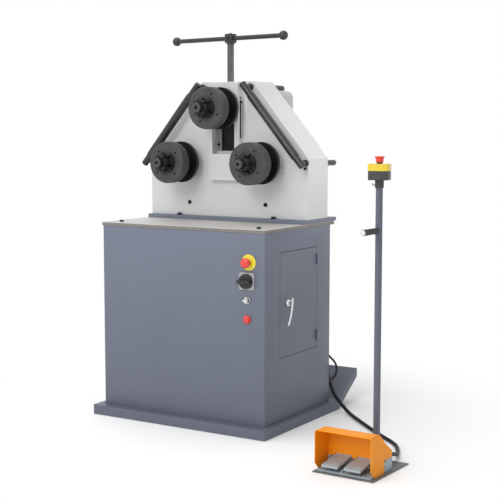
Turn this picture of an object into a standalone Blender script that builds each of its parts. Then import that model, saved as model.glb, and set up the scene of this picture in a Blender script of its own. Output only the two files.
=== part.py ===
"""Ring roller on a cabinet, with its foot switch and emergency stop post.

Metres, +Z up. X runs along the front, Y from front to back. The origin is on the plinth's
underside, below the middle of the cabinet. Set-backs are measured from the cabinet's front.
"""

import math

import bmesh
import bpy
from mathutils import Matrix, Vector

# Clearances
GAP = 0.0003
RUNNING_GAP = 0.0004
OVERRUN = 0.002
WELD = 0.001

# Plinth with its turned-up tail, on which the machine is laid back
PLINTH_SIDE_LIP = 0.0255
PLINTH_HEIGHT = 0.041
PLINTH_FRONT_LIP = 0.045
PLINTH_REAR_LIP = 0.038
TAIL_REACH = 0.173
TAIL_RISE = 0.1135
TAIL_HEIGHT = 0.036

# Cabinet
CABINET_WIDTH = 0.793
CABINET_DEPTH = 0.533
CABINET_HEIGHT = 0.756
CABINET_SHEET = 0.003
CABINET_CORNER = 0.006
CABINET_INNER_CORNER = 0.003
PANEL_HOLE_RADIUS = 0.0113

# Plates between the cabinet and the head
TABLE_THICKNESS = 0.0145
TABLE_OVERHANG = 0.002
TABLE_REAR_OVERHANG = 0.030
TABLE_EDGE = 0.0012
BASE_THICKNESS = 0.0155
BASE_SETBACK = 0.316
BASE_DEPTH = 0.268

# Head housing
HEAD_SETBACK = 0.343
HEAD_DEPTH = 0.167
HEAD_SIDE_INSET = 0.0025
HEAD_SIDE_HEIGHT = 0.249
HEAD_HEIGHT = 0.567
HEAD_TOP_HALF_WIDTH = 0.125
HEAD_FRONT_WALL = 0.014
HEAD_WALL = 0.012
HEAD_TOP_WALL = 0.0235
BEARING_FLANGE_RADIUS = 0.060
BEARING_FLANGE_LENGTH = 0.025
FLANGE_EDGE = 0.0015
BEARING_BOSS_RADIUS = 0.042
BEARING_BOSS_LENGTH = 0.028
REAR_BOSS_LENGTH = 0.010

# Slot, its raised frame, the keepers and the guide cheeks behind them
FRAME_HALF_WIDTH = 0.074
FRAME_THICKNESS = 0.028
FRAME_FOOT = 0.154
FRAME_TOP_MARGIN = 0.004
SLOT_HALF_WIDTH = 0.055
SLOT_FOOT = 0.2655
SLOT_TOP = 0.4915
KEEPER_TOP = 0.542
KEEPER_THICKNESS = 0.010
LEDGE_HEIGHT = 0.012
CHEEK_OUTER = 0.075
CHEEK_INNER = 0.0465
CHEEK_DEPTH = 0.072
POINTER_SLIT = 0.008
POINTER_SLIT_SETBACK = 0.014
SLIT_FOOT = 0.330
SLIT_TOP = 0.4905

# Slide, screw and handle
SLIDE_BELOW_SHAFT = 0.066
SLIDE_ABOVE_SHAFT = 0.070
TONGUE_ABOVE_SHAFT = 0.031
TONGUE_HALF_WIDTH = 0.0362
TONGUE_SETBACK = 0.002
APRON_THICKNESS = 0.012
APRON_FOOT = 0.272
SLIDE_BOSS_RADIUS = 0.0305
SLIDE_BOSS_SETBACK = 0.308
POINTER_HEIGHT = 0.481
POINTER_REACH = 0.084
POINTER_SECTION = 0.005
SCREW_SETBACK = 0.3737
SCREW_RADIUS = 0.014
SCREW_COLLAR_RADIUS = 0.016
SCREW_COLLAR_LENGTH = 0.0095
SCREW_NECK_RADIUS = 0.0125
SCREW_ENTRY = 0.032
NUT_BUSH_RADIUS = 0.0205
HUB_FOOT = 0.7295
HUB_SIZE = 0.037
HUB_HEIGHT = 0.038
HUB_EDGE = 0.003
HUB_COLLAR_RADIUS = 0.0168
HUB_COLLAR_LENGTH = 0.006
TOMMY_RADIUS = 0.0095
TOMMY_LENGTH = 0.581
TOMMY_OFFSET = 0.0125
TOMMY_TURN = math.radians(-6.7)
BALL_RADIUS = 0.0195

# Rollers and their shafts
LOWER_SHAFT_HEIGHT = 0.230
UPPER_SHAFT_HEIGHT = 0.456
GEAR_MODULE = 0.005
GEAR_TEETH = 50
PINION_TEETH = 30
SHAFT_TIP_SETBACK = 0.113
SHAFT_RADIUS = 0.020
SHAFT_EDGE = 0.0015
SHAFT_CENTRE_RADIUS = 0.0065
SHAFT_CENTRE_DEPTH = 0.007
JOURNAL_RADIUS = 0.025
COLLAR_RADIUS = 0.032
REAR_COLLAR_RADIUS = 0.031
REAR_COLLAR_LENGTH = 0.010
SHAFT_REAR_MARGIN = 0.0015
ROLLER_SETBACK = 0.1835
ROLLER_RADIUS = 0.087
ROLLER_FACE_LENGTH = 0.042
ROLLER_STEP_LENGTH = 0.010
ROLLER_STEP = 0.0028
ROLLER_GROOVE = 0.050
ROLLER_HUB_RADIUS = 0.060
ROLLER_FLANGE = 0.018
ROLLER_EDGE = 0.0025
ROLLER_RECESS_RADIUS = 0.050
ROLLER_RECESS_DEPTH = 0.0015
JACK_HOLE_RADIUS = 0.0042
JACK_HOLE_CIRCLE = 0.062
JACK_HOLE_DEPTH = 0.012
JACK_HOLES = 4
CLAMP_SETBACK = 0.133
CLAMP_RADIUS = 0.034
CLAMP_FLANGE_RADIUS = 0.043
CLAMP_FLANGE_LENGTH = 0.015
CLAMP_EDGE = 0.002
CLAMP_SLOTS = 6
CLAMP_SLOT_WIDTH = 0.010
CLAMP_SLOT_FLOOR = 0.029
CLAMP_SLOT_RUNOUT = 0.007

# Gears
GEAR_SETBACK = 0.455
GEAR_WIDTH = 0.026
GEAR_BACKLASH = 0.0006
GEAR_HOLE_RADIUS = 0.018
GEAR_HOLE_CIRCLE = 0.070
GEAR_HOLES = 5
PINION_SHAFT_RADIUS = 0.0175
PINION_SHAFT_FRONT = 0.008
PINION_BOSS_RADIUS = 0.034

# Gearmotor behind the head
WORM_OFFSET = 0.072
MOTOR_SETBACK = 0.605
GEARBOX_RADIUS = 0.078
GEARBOX_DEPTH = 0.120
GEARBOX_NECK_RADIUS = 0.055
WORM_TUBE_RADIUS = 0.046
WORM_TUBE_BELOW = 0.083
WORM_TUBE_ABOVE = 0.070
MOTOR_FLANGE_RADIUS = 0.080
MOTOR_FLANGE_LENGTH = 0.011
MOTOR_ROOT_RADIUS = 0.074
MOTOR_FIN_RADIUS = 0.083
MOTOR_FINS = 24
MOTOR_LENGTH = 0.145
COWL_RADIUS = 0.086
COWL_LENGTH = 0.077
COWL_EDGE = 0.027
TERMINAL_BOX_WIDTH = 0.090
TERMINAL_BOX_HEIGHT = 0.090
TERMINAL_BOX_DEPTH = 0.045
TERMINAL_BOX_FOOT = 0.026

# Rest rods that stand out behind the head
ROD_RADIUS = 0.0125
ROD_END_EDGE = 0.003
ROD_NUT_RADIUS = 0.0165
ROD_NUT_LENGTH = 0.010
LOWER_ROD_INSET = 0.094
LOWER_ROD_HEIGHT = 0.2235
UPPER_ROD_OFFSET = 0.037
UPPER_ROD_CLEARANCE = 0.0037

# Guide bars along the head's slopes
BAR_SETBACK = 0.292
BAR_INSET = 0.019
BAR_START = -0.004
BAR_THICK_START = 0.060
BAR_THICK_END = 0.392
BAR_END = 0.441
BAR_RADIUS = 0.0175
BAR_END_RADIUS = 0.0145
BAR_EDGE = 0.002
BAR_PIN_INSET = 0.018
BAR_PIN_RADIUS = 0.0095
BAR_PIN_FOOT_RADIUS = 0.014
BAR_PIN_FOOT_LENGTH = 0.012

# Front controls
CONTROL_INSET = 0.080
STOP_SHIFT = 0.007
STOP_HEIGHT = 0.684
ISOLATOR_HEIGHT = 0.6107
SELECTOR_HEIGHT = 0.5355
LAMP_HEIGHT = 0.460
BARREL_RADIUS = 0.0110
CONTACT_BLOCK = 0.032
CONTACT_BLOCK_DEPTH = 0.036
CONTACT_BLOCK_GAP = 0.001
STOP_LABEL_RADIUS = 0.0315
STOP_LABEL_THICKNESS = 0.0025
STOP_CAP_RADIUS = 0.020
STOP_CAP_NECK = 0.013
STOP_CAP_SETOFF = 0.017
STOP_CAP_LENGTH = 0.019
STOP_STEM_RADIUS = 0.0085
STOP_STEM_LENGTH = 0.014
STOP_TRAVEL = 0.005
ISOLATOR_PLATE = 0.067
ISOLATOR_CORNER = 0.006
ISOLATOR_THICKNESS = 0.007
ISOLATOR_KNOB_RADIUS = 0.0295
ISOLATOR_KNOB_LENGTH = 0.010
ISOLATOR_GRIP_LENGTH = 0.057
ISOLATOR_GRIP_WIDTH = 0.013
ISOLATOR_GRIP_DEPTH = 0.022
ISOLATOR_SPINDLE_RADIUS = 0.006
BEZEL_RADIUS = 0.0148
BEZEL_LENGTH = 0.006
BEZEL_EDGE = 0.0015
SELECTOR_RADIUS = 0.0112
SELECTOR_LENGTH = 0.009
SELECTOR_GRIP_WIDTH = 0.006
SELECTOR_GRIP_DEPTH = 0.009
LAMP_BEZEL_RADIUS = 0.0165
LENS_RADIUS = 0.0135
LENS_LENGTH = 0.009

# Door in the right side
DOOR_FRONT = 0.1155
DOOR_REAR = 0.413
DOOR_FOOT = 0.296
DOOR_TOP = 0.7145
DOOR_GAP = 0.002
DOOR_SHEET = 0.003
STIFFENER_INSET = 0.045
STIFFENER_FRONT_INSET = 0.075
STIFFENER_DEPTH = 0.010
STIFFENER_WALL = 0.0025
HINGE_STANDOFF = 0.0056
HINGE_RADIUS = 0.005
HINGE_PIN_RADIUS = 0.0022
HINGE_HEIGHT = 0.040
HINGE_MARGIN = 0.0505
HINGE_LEAF = 0.012
HINGE_LEAF_THICKNESS = 0.0015
LOCK_SETBACK = 0.161
LOCK_HEIGHT = 0.512
ROSE_RADIUS = 0.015
ROSE_LENGTH = 0.016
ROSE_TIP_SHARE = 0.76
ROSE_EDGE_SHARE = 0.7
STEM_RADIUS = 0.0062
STEM_LENGTH = 0.030
LEVER_ABOVE = 0.022
LEVER_BELOW = 0.088
LEVER_RADIUS = 0.0052
LEVER_SWAY = 0.012
CAM_LENGTH = 0.062
CAM_WIDTH = 0.020
CAM_THICKNESS = 0.003

# Electrical plate inside the cabinet
PLATE_INSET = 0.1615
PLATE_FLANGE = 0.022
PLATE_SHEET = 0.0025
PLATE_FOOT = 0.245
PLATE_TOP = 0.735
CONTACTOR_WIDTH = 0.045
CONTACTOR_HEIGHT = 0.075
CONTACTOR_DEPTH = 0.070
CONTACTOR_STEP = 0.018
CONTACTORS = 4
RAIL_HEIGHT = 0.035
RAIL_DEPTH = 0.0075
CONTACTOR_SETBACK = 0.165
CONTACTOR_Z = 0.585

# Cable entry box on the back of the cabinet
ENTRY_WIDTH = 0.062
ENTRY_INSET = 0.0405
ENTRY_DEPTH = 0.066
ENTRY_FOOT = 0.330
ENTRY_HEIGHT = 0.062
GLAND_RADIUS = 0.0125
GLAND_LENGTH = 0.030
THIN_GLAND_RADIUS = 0.009
GLAND_TIP_SHARE = 0.72

# Foot switch station: its front left corner, and its turn against the machine
STATION_OFFSET = 0.375
STATION_SETBACK = -0.2984
STATION_TURN = math.radians(-1.9)
FOOT_WIDTH = 0.241
FOOT_DEPTH = 0.2725
FOOT_THICKNESS = 0.004

# Guard hood
GUARD_LEFT = 0.003
GUARD_RIGHT = 0.227
GUARD_TOP = 0.150
GUARD_SHEET = 0.0025
GUARD_BEND = 0.009
GUARD_FRONT = 0.010
GUARD_CHAMFER = 0.028
GUARD_SIDE_DEPTH = 0.108
GUARD_TOP_DEPTH = 0.072
WING_REACH = 0.167
WING_FOOT = 0.052
WING_SHOULDER = 0.075
WING_ROOT = 0.116
BACK_WALL_FOOT = 0.053
BACK_WALL_INSET = 0.0007

# Pedal housing and pedals
HOUSING_LEFT = 0.0075
HOUSING_RIGHT = 0.2225
HOUSING_FRONT = 0.013
HOUSING_REAR = 0.178
HOUSING_FLOOR = 0.009
HOUSING_HEIGHT = 0.050
HOUSING_EDGE = 0.003
HOUSING_LIP = 0.0096
LIP_THICKNESS = 0.004
BLOCK_FRONT = 0.128
EAR_WIDTH = 0.008
EAR_FRONT = 0.099
EAR_HEIGHT = 0.040
RIB_X = 0.1085
RIB_WIDTH = 0.005
RIB_FRONT_HEIGHT = 0.017
AXLE_Y = 0.112
AXLE_Z = 0.030
AXLE_RADIUS = 0.004
PEDAL_FRONT = 0.006
PEDAL_REAR = 0.122
PEDAL_WIDTH = 0.064
LEFT_PEDAL_X = 0.0655
RIGHT_PEDAL_X = 0.155
PEDAL_FRONT_Z = 0.031
PEDAL_REAR_Z = 0.049
PEDAL_THICKNESS = 0.008
PEDAL_HUB_RADIUS = 0.0085
PEDAL_GLAND_X = 0.185
PEDAL_GLAND_Z = 0.036
PEDAL_GLAND_RADIUS = 0.0125
PEDAL_GLAND_LENGTH = 0.026

# Post with its grip and emergency stop box
POST_X = 0.1395
POST_Y = 0.216
POST_RADIUS = 0.0125
POST_WALL = 0.002
POST_TOP = 1.016
POST_FLANGE_RADIUS = 0.028
POST_FLANGE_THICKNESS = 0.004
GRIP_HEIGHT = 0.842
GRIP_START = 0.016
GRIP_END = 0.118
GRIP_RADIUS = 0.0115
GRIP_RIB = 0.0008
GRIP_RIBS = 5
GRIP_CORE_RADIUS = 0.008
BOX_SIZE = 0.071
BOX_CORNER = 0.006
BOX_TURN = math.radians(16.9)
BOX_FOOT = 1.0205
BOX_HEIGHT = 0.032
COVER_SIZE = 0.073
COVER_HEIGHT = 0.0245
SOCKET_FOOT = 0.9925
SOCKET_RADIUS = 0.0158
POST_CAP_RADIUS = 0.0185
POST_CAP_NECK = 0.0138
POST_CAP_SETOFF = 0.0055
POST_CAP_LENGTH = 0.021
POST_CAP_FLARE = 0.009
POST_STEM_RADIUS = 0.0105
POST_STEM_LENGTH = 0.010

# Cables
PEDAL_CABLE_RADIUS = 0.0075
THIN_CABLE_RADIUS = 0.0045
CABLE_STEP = 0.030
CABLE_REST_GAP = 0.0004
SLEEVE_RADIUS = 0.0118
SLEEVE_CLEARANCE = 0.0012
INLET_START_SHARE = 0.6
INLET_ROOT_SHARE = 0.85
SLEEVE_START_SHARE = 0.146
SLEEVE_END_SHARE = 0.166
SLEEVE_TIP_SHARE = 0.8
SLEEVE_MOUTH_SHARES = (1.12, 0.56, 1.64)
GLAND_RUN = 0.034
THIN_GLAND_RUN = 0.017
INLET_RUN = 0.008

# Cable routes: shares of the cabinet's depth from its rear right corner, and of the foot plate's
# depth from the station's corner; the floor part lies on the floor whatever its third share says
OVER_PLINTH_SHARES = [
    (-0.0872, 0.0319, 0.4221),
    (-0.0572, 0.0403, 0.3377),
    (-0.0291, 0.0460, 0.2533),
    (-0.0047, 0.0469, 0.1782),
    (0.0216, 0.0422, 0.1295),
    (0.0516, 0.0328, 0.0985),
    (0.0816, 0.0159, 0.0816),
    (0.1191, -0.0066, 0.0610),
    (0.1567, -0.0291, 0.0413),
    (0.1942, -0.0516, 0.0240),
]
FLOOR_SHARES = [
    (0.2411, -0.0872, 0),
    (0.3424, -0.1886, 0),
    (0.6144, -0.4456, 0),
    (0.7533, -0.5694, 0),
    (0.8471, -0.6482, 0),
    (0.9259, -0.7326, 0),
    (0.9765, -0.8171, 0),
]
THIN_ROUTE_SHARES = [
    (-0.1107, 0.1056, 0.4953),
    (-0.0872, 0.1051, 0.4522),
    (-0.0510, 0.1023, 0.4141),
    (-0.0107, 0.1021, 0.3795),
    (0.0150, 0.0887, 0.3480),
    (0.0240, 0.0758, 0.3150),
    (0.0208, 0.0685, 0.2874),
]
STATION_ROUTE_SHARES = [
    (0.6055, 1.2110, 0.0440),
    (0.6569, 1.0569, 0.0881),
]

# Facets
FINE_SIDES = 36
SIDES = 24
SMALL_SIDES = 16
CORNER_STEPS = 3

# Places that follow from the sizes above
FRONT = -CABINET_DEPTH / 2
CABINET_FOOT = PLINTH_HEIGHT + GAP
CABINET_TOP = CABINET_FOOT + CABINET_HEIGHT
TABLE_FOOT = CABINET_TOP + GAP
BASE_FOOT = TABLE_FOOT + TABLE_THICKNESS + GAP
HEAD_FOOT = BASE_FOOT + BASE_THICKNESS + GAP
SIDE = CABINET_WIDTH / 2
REAR = FRONT + CABINET_DEPTH
PLINTH_WIDTH = CABINET_WIDTH + 2 * PLINTH_SIDE_LIP
HEAD_HALF_WIDTH = SIDE - HEAD_SIDE_INSET
HEAD_FRONT = FRONT + HEAD_SETBACK
HEAD_REAR = HEAD_FRONT + HEAD_DEPTH
LOWER_SPACING = GEAR_MODULE * (GEAR_TEETH + PINION_TEETH) / 2
LOWER_Z = HEAD_FOOT + LOWER_SHAFT_HEIGHT
UPPER_Z = HEAD_FOOT + UPPER_SHAFT_HEIGHT
KEEPER_FRONT = HEAD_FRONT + HEAD_FRONT_WALL + GAP
CHEEK_FRONT = KEEPER_FRONT + KEEPER_THICKNESS + GAP
CHEEK_REAR = CHEEK_FRONT + CHEEK_DEPTH
SHOULDER_FRONT = CHEEK_FRONT + GAP
SCREW_Y = FRONT + SCREW_SETBACK
HUB_Z = HEAD_FOOT + HUB_FOOT
ROLLER_LENGTH = ROLLER_FACE_LENGTH + ROLLER_STEP_LENGTH + ROLLER_GROOVE + ROLLER_FLANGE
ROLLER_REAR = ROLLER_SETBACK + ROLLER_LENGTH
TAIL_END = REAR + PLINTH_REAR_LIP + TAIL_REACH
GEARBOX_Z = LOWER_Z
MOTOR_FOOT = GEARBOX_Z + WORM_TUBE_ABOVE + MOTOR_FLANGE_LENGTH + GAP
COWL_FOOT = MOTOR_FOOT + MOTOR_LENGTH + GAP
UPPER_ROD_Z = COWL_FOOT + COWL_LENGTH + UPPER_ROD_CLEARANCE + ROD_RADIUS
CONTROL_X = SIDE - CONTROL_INSET
PLATE_X = SIDE - PLATE_INSET
ENTRY_RIGHT = SIDE - ENTRY_INSET
ENTRY_LEFT = ENTRY_RIGHT - ENTRY_WIDTH
STATION_X = SIDE + STATION_OFFSET
HINGE_X = SIDE + HINGE_STANDOFF
HINGE_Y = FRONT + DOOR_REAR + DOOR_GAP
GLAND_FOOT = ENTRY_FOOT - GLAND_LENGTH

# Colour, roughness, metallic
PAINT_BLUE = ((0.165, 0.190, 0.262, 1), 0.45, 0.0)
PAINT_GREY = ((0.620, 0.620, 0.615, 1), 0.50, 0.0)
MACHINED = ((0.560, 0.555, 0.540, 1), 0.38, 0.8)
DARK_STEEL = ((0.085, 0.085, 0.088, 1), 0.42, 0.7)
BLACK_STEEL = ((0.020, 0.020, 0.022, 1), 0.45, 0.5)
BRIGHT_STEEL = ((0.700, 0.700, 0.700, 1), 0.22, 1.0)
ALUMINIUM = ((0.400, 0.400, 0.405, 1), 0.50, 0.7)
ORANGE = ((0.870, 0.290, 0.020, 1), 0.45, 0.0)
YELLOW = ((0.920, 0.640, 0.030, 1), 0.45, 0.0)
RED = ((0.720, 0.035, 0.025, 1), 0.35, 0.0)
BLACK_PLASTIC = ((0.020, 0.020, 0.022, 1), 0.50, 0.0)
GREY_PLASTIC = ((0.380, 0.385, 0.400, 1), 0.50, 0.0)
RUBBER = ((0.022, 0.023, 0.024, 1), 0.65, 0.0)
BRONZE = ((0.420, 0.260, 0.090, 1), 0.40, 0.9)

for old in list(bpy.data.objects):
    bpy.data.objects.remove(old, do_unlink=True)

machine = bpy.data.collections.new("ring_roller")
bpy.context.scene.collection.children.link(machine)
cutters = bpy.data.collections.new("cutters")
bpy.context.scene.collection.children.link(cutters)


def material(finish):
    """Return the material of a finish, made once."""
    colour, roughness, metallic = finish
    name = "finish_" + "_".join(f"{round(value * 1000):04d}" for value in (*colour[:3], roughness, metallic))
    found = bpy.data.materials.get(name)
    if found:
        return found
    found = bpy.data.materials.new(name)
    found.use_nodes = True
    shader = found.node_tree.nodes["Principled BSDF"]
    shader.inputs["Base Color"].default_value = colour
    shader.inputs["Roughness"].default_value = roughness
    shader.inputs["Metallic"].default_value = metallic
    return found


def place(name, mesh, origin=(0, 0, 0), parent=None, finish=None):
    """Put a mesh in the scene: a sub-part when it has a finish, a cutter when it hasn't."""
    thing = bpy.data.objects.new(name, mesh)
    thing.location = origin
    thing.parent = parent
    if finish is None:
        cutters.objects.link(thing)
        thing.hide_render = True
        thing.display_type = "WIRE"
    else:
        machine.objects.link(thing)
        mesh.materials.append(material(finish))
    return thing


def mesh_from(bm, name):
    """Turn a bmesh into a mesh."""
    bmesh.ops.recalc_face_normals(bm, faces=bm.faces)
    mesh = bpy.data.meshes.new(name)
    bm.to_mesh(mesh)
    bm.free()
    return mesh


def box(name, low, high, origin=None, **where):
    """A box between two corners; its origin is its middle unless one is given."""
    low = Vector(low)
    high = Vector(high)
    middle = (low + high) / 2
    origin = middle if origin is None else Vector(origin)
    bm = bmesh.new()
    bmesh.ops.create_cube(bm, size=1)
    shape = Matrix.Translation(middle - origin) @ Matrix.Diagonal((*(high - low), 1))
    bmesh.ops.transform(bm, matrix=shape, verts=bm.verts)
    return place(name, mesh_from(bm, name), origin, **where)


def rod(name, start, end, radius, sides=SIDES, tip_radius=None, origin=None, **where):
    """A round bar from one point to another, or a cone where a tip radius is given."""
    start = Vector(start)
    end = Vector(end)
    middle = (start + end) / 2
    origin = middle if origin is None else Vector(origin)
    tip = radius if tip_radius is None else tip_radius
    along = end - start
    bm = bmesh.new()
    bmesh.ops.create_cone(
        bm, cap_ends=True, segments=sides, radius1=radius, radius2=tip, depth=along.length
    )
    turn = Vector((0, 0, 1)).rotation_difference(along).to_matrix().to_4x4()
    bmesh.ops.transform(bm, matrix=Matrix.Translation(middle - origin) @ turn, verts=bm.verts)
    return place(name, mesh_from(bm, name), origin, **where)


def ball(name, centre, radius, origin, sides=SMALL_SIDES, **where):
    """A sphere, with its origin where asked."""
    bm = bmesh.new()
    bmesh.ops.create_uvsphere(bm, u_segments=sides, v_segments=sides // 2, radius=radius)
    shift = Matrix.Translation(Vector(centre) - Vector(origin))
    bmesh.ops.transform(bm, matrix=shift, verts=bm.verts)
    return place(name, mesh_from(bm, name), origin, **where)


def turned(name, profile, origin, axis="Z", sides=SIDES, closed=False, **where):
    """A turned piece: (radius, distance along the axis) pairs, swept by a Screw modifier."""
    mesh = bpy.data.meshes.new(name)
    points = [(radius, 0, along) for radius, along in profile]
    links = [(i, i + 1) for i in range(len(points) - 1)]
    if closed:
        links.append((len(points) - 1, 0))
    mesh.from_pydata(points, links, [])
    thing = place(name, mesh, origin, **where)
    screw = thing.modifiers.new("turn", "SCREW")
    screw.steps = sides
    screw.render_steps = sides
    screw.use_merge_vertices = True
    screw.merge_threshold = 0.00001
    settle(thing)
    if axis == "Y":
        thing.data.transform(Matrix.Rotation(-math.pi / 2, 4, "X"))
    elif axis == "-Y":
        thing.data.transform(Matrix.Rotation(math.pi / 2, 4, "X"))
    elif axis == "X":
        thing.data.transform(Matrix.Rotation(math.pi / 2, 4, "Y"))
    return thing


def settle(thing, outward=True):
    """Replace an object's mesh by its evaluated one; one without a cavity gets its normals outward."""
    bpy.context.view_layer.update()
    seen = thing.evaluated_get(bpy.context.evaluated_depsgraph_get())
    mesh = bpy.data.meshes.new_from_object(seen)
    bm = bmesh.new()
    bm.from_mesh(mesh)
    bmesh.ops.remove_doubles(bm, verts=bm.verts, dist=0.000001)
    if outward:
        bmesh.ops.recalc_face_normals(bm, faces=bm.faces)
    bm.to_mesh(mesh)
    bm.free()
    thing.modifiers.clear()
    thing.data = mesh


def plate(name, loops, thickness, plane="XY", origin=(0, 0, 0), **where):
    """A flat outline with its holes, thickened evenly about the origin along the plane's normal."""
    curve = bpy.data.curves.new(name, "CURVE")
    curve.dimensions = "2D"
    curve.fill_mode = "BOTH"
    curve.extrude = thickness / 2
    for loop in loops:
        spline = curve.splines.new("POLY")
        spline.points.add(len(loop) - 1)
        for point, (first, second) in zip(spline.points, loop):
            point.co = (first, second, 0, 1)
        spline.use_cyclic_u = True
    drawn = bpy.data.objects.new(name + "_outline", curve)
    cutters.objects.link(drawn)
    bpy.context.view_layer.update()
    seen = drawn.evaluated_get(bpy.context.evaluated_depsgraph_get())
    mesh = bpy.data.meshes.new_from_object(seen)
    bpy.data.objects.remove(drawn, do_unlink=True)
    bm = bmesh.new()
    bm.from_mesh(mesh)
    bmesh.ops.remove_doubles(bm, verts=bm.verts, dist=0.000001)
    if plane == "XZ":
        bmesh.ops.transform(bm, matrix=Matrix.Rotation(math.pi / 2, 4, "X"), verts=bm.verts)
    elif plane == "YZ":
        turn = Matrix.Rotation(math.pi / 2, 4, "Z") @ Matrix.Rotation(math.pi / 2, 4, "X")
        bmesh.ops.transform(bm, matrix=turn, verts=bm.verts)
    return place(name, mesh_from(bm, name), origin, **where)


def combine(thing, others, operation):
    """Apply one exact Boolean after another, settling the result each time."""
    for other in others:
        step = thing.modifiers.new(operation.lower(), "BOOLEAN")
        step.operation = operation
        step.solver = "EXACT"
        step.object = other
        settle(thing, outward=False)
    return thing


def fuse(thing, *others):
    return combine(thing, others, "UNION")


def cut(thing, *others):
    return combine(thing, others, "DIFFERENCE")


def keep(thing, *others):
    return combine(thing, others, "INTERSECT")


def rounded(left, right, foot, top, radius, steps=CORNER_STEPS):
    """A rectangle with round corners, anticlockwise."""
    corners = [
        (right - radius, top - radius, 0),
        (left + radius, top - radius, 1),
        (left + radius, foot + radius, 2),
        (right - radius, foot + radius, 3),
    ]
    points = []
    for x, y, quarter in corners:
        for step in range(steps + 1):
            angle = math.pi / 2 * (quarter + step / steps)
            points.append((x + radius * math.cos(angle), y + radius * math.sin(angle)))
    return points


def circle(x, y, radius, sides=SMALL_SIDES):
    """A round outline."""
    turns = [2 * math.pi * i / sides for i in range(sides)]
    return [(x + radius * math.cos(t), y + radius * math.sin(t)) for t in turns]


def empty(name, location, turn=0, parent=None):
    """An empty that carries other pieces."""
    holder = bpy.data.objects.new(name, None)
    holder.location = location
    holder.rotation_euler = (0, 0, turn)
    holder.parent = parent
    machine.objects.link(holder)
    bpy.context.view_layer.update()
    return holder


def build_plinth():
    """The plinth is a long low box whose tail is turned up behind the cabinet."""
    front = FRONT - PLINTH_FRONT_LIP
    bend = FRONT + CABINET_DEPTH + PLINTH_REAR_LIP
    slope = TAIL_RISE / TAIL_REACH
    top_bend = bend + (PLINTH_HEIGHT - TAIL_HEIGHT) / slope
    side = [
        (front, 0),
        (bend, 0),
        (TAIL_END, TAIL_RISE),
        (TAIL_END, TAIL_RISE + TAIL_HEIGHT),
        (top_bend, PLINTH_HEIGHT),
        (front, PLINTH_HEIGHT),
    ]
    plate("plinth", [side], PLINTH_WIDTH, "YZ", finish=PAINT_BLUE)


def hinge_heights():
    """Heights of the two hinges' middles."""
    return DOOR_FOOT + HINGE_MARGIN, DOOR_TOP - HINGE_MARGIN


def build_cabinet():
    """The cabinet is a folded shell with a door opening, panel holes and fixed hinge halves."""
    rear = FRONT + CABINET_DEPTH
    outline = rounded(-SIDE, SIDE, FRONT, rear, CABINET_CORNER)
    middle = (0, 0, CABINET_FOOT + CABINET_HEIGHT / 2)
    shell = plate("cabinet_shell", [outline], CABINET_HEIGHT, "XY", middle, finish=PAINT_BLUE)
    inner = rounded(
        -SIDE + CABINET_SHEET, SIDE - CABINET_SHEET, FRONT + CABINET_SHEET, rear - CABINET_SHEET,
        CABINET_INNER_CORNER,
    )
    hollow = plate("cabinet_hollow", [inner], CABINET_HEIGHT - 2 * CABINET_SHEET, "XY", middle)
    opening = box(
        "door_opening",
        (SIDE - CABINET_SHEET - OVERRUN, FRONT + DOOR_FRONT - DOOR_GAP, DOOR_FOOT - DOOR_GAP),
        (SIDE + OVERRUN, FRONT + DOOR_REAR + DOOR_GAP, DOOR_TOP + DOOR_GAP),
    )
    holes = []
    for number, (x, z) in enumerate(panel_places()):
        start = (x, FRONT - OVERRUN, z)
        end = (x, FRONT + CABINET_SHEET + OVERRUN, z)
        holes.append(rod(f"panel_hole_{number}", start, end, PANEL_HOLE_RADIUS))
    cut(shell, hollow, opening, *holes)
    fixed = []
    share = HINGE_HEIGHT / 3
    for number, z in enumerate(hinge_heights()):
        for end, low in enumerate((z - HINGE_HEIGHT / 2, z + share / 2)):
            high = low + share
            knuckle = rod(
                f"hinge_fixed_{number}_{end}", (HINGE_X, HINGE_Y, low), (HINGE_X, HINGE_Y, high),
                HINGE_RADIUS, SMALL_SIDES,
            )
            leaf = box(
                f"hinge_leaf_{number}_{end}",
                (SIDE - WELD, HINGE_Y, low),
                (SIDE + HINGE_LEAF_THICKNESS, HINGE_Y + HINGE_LEAF, high),
            )
            fixed += [fuse(knuckle, leaf)]
        pin = rod(
            f"hinge_pin_{number}", (HINGE_X, HINGE_Y, z - share), (HINGE_X, HINGE_Y, z + share),
            HINGE_PIN_RADIUS, SMALL_SIDES,
        )
        fixed.append(pin)
    fuse(shell, *fixed)


def panel_places():
    """Places of the four devices in the front panel."""
    return [
        (CONTROL_X + STOP_SHIFT, STOP_HEIGHT),
        (CONTROL_X, ISOLATOR_HEIGHT),
        (CONTROL_X, SELECTOR_HEIGHT),
        (CONTROL_X, LAMP_HEIGHT),
    ]


def build_table():
    """The table plate, and the plate that the head stands on."""
    table = box(
        "table_plate",
        (-SIDE - TABLE_OVERHANG, FRONT - TABLE_OVERHANG, TABLE_FOOT),
        (SIDE + TABLE_OVERHANG, FRONT + CABINET_DEPTH + TABLE_REAR_OVERHANG, TABLE_FOOT + TABLE_THICKNESS),
        finish=MACHINED,
    )
    edge = table.modifiers.new("edge", "BEVEL")
    edge.width = TABLE_EDGE
    edge.segments = 1
    settle(table)
    base = box(
        "head_base_plate",
        (-SIDE, FRONT + BASE_SETBACK, BASE_FOOT),
        (SIDE, FRONT + BASE_SETBACK + BASE_DEPTH, BASE_FOOT + BASE_THICKNESS),
        finish=PAINT_BLUE,
    )
    edge = base.modifiers.new("edge", "BEVEL")
    edge.width = TABLE_EDGE
    edge.segments = 1
    settle(base)


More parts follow.
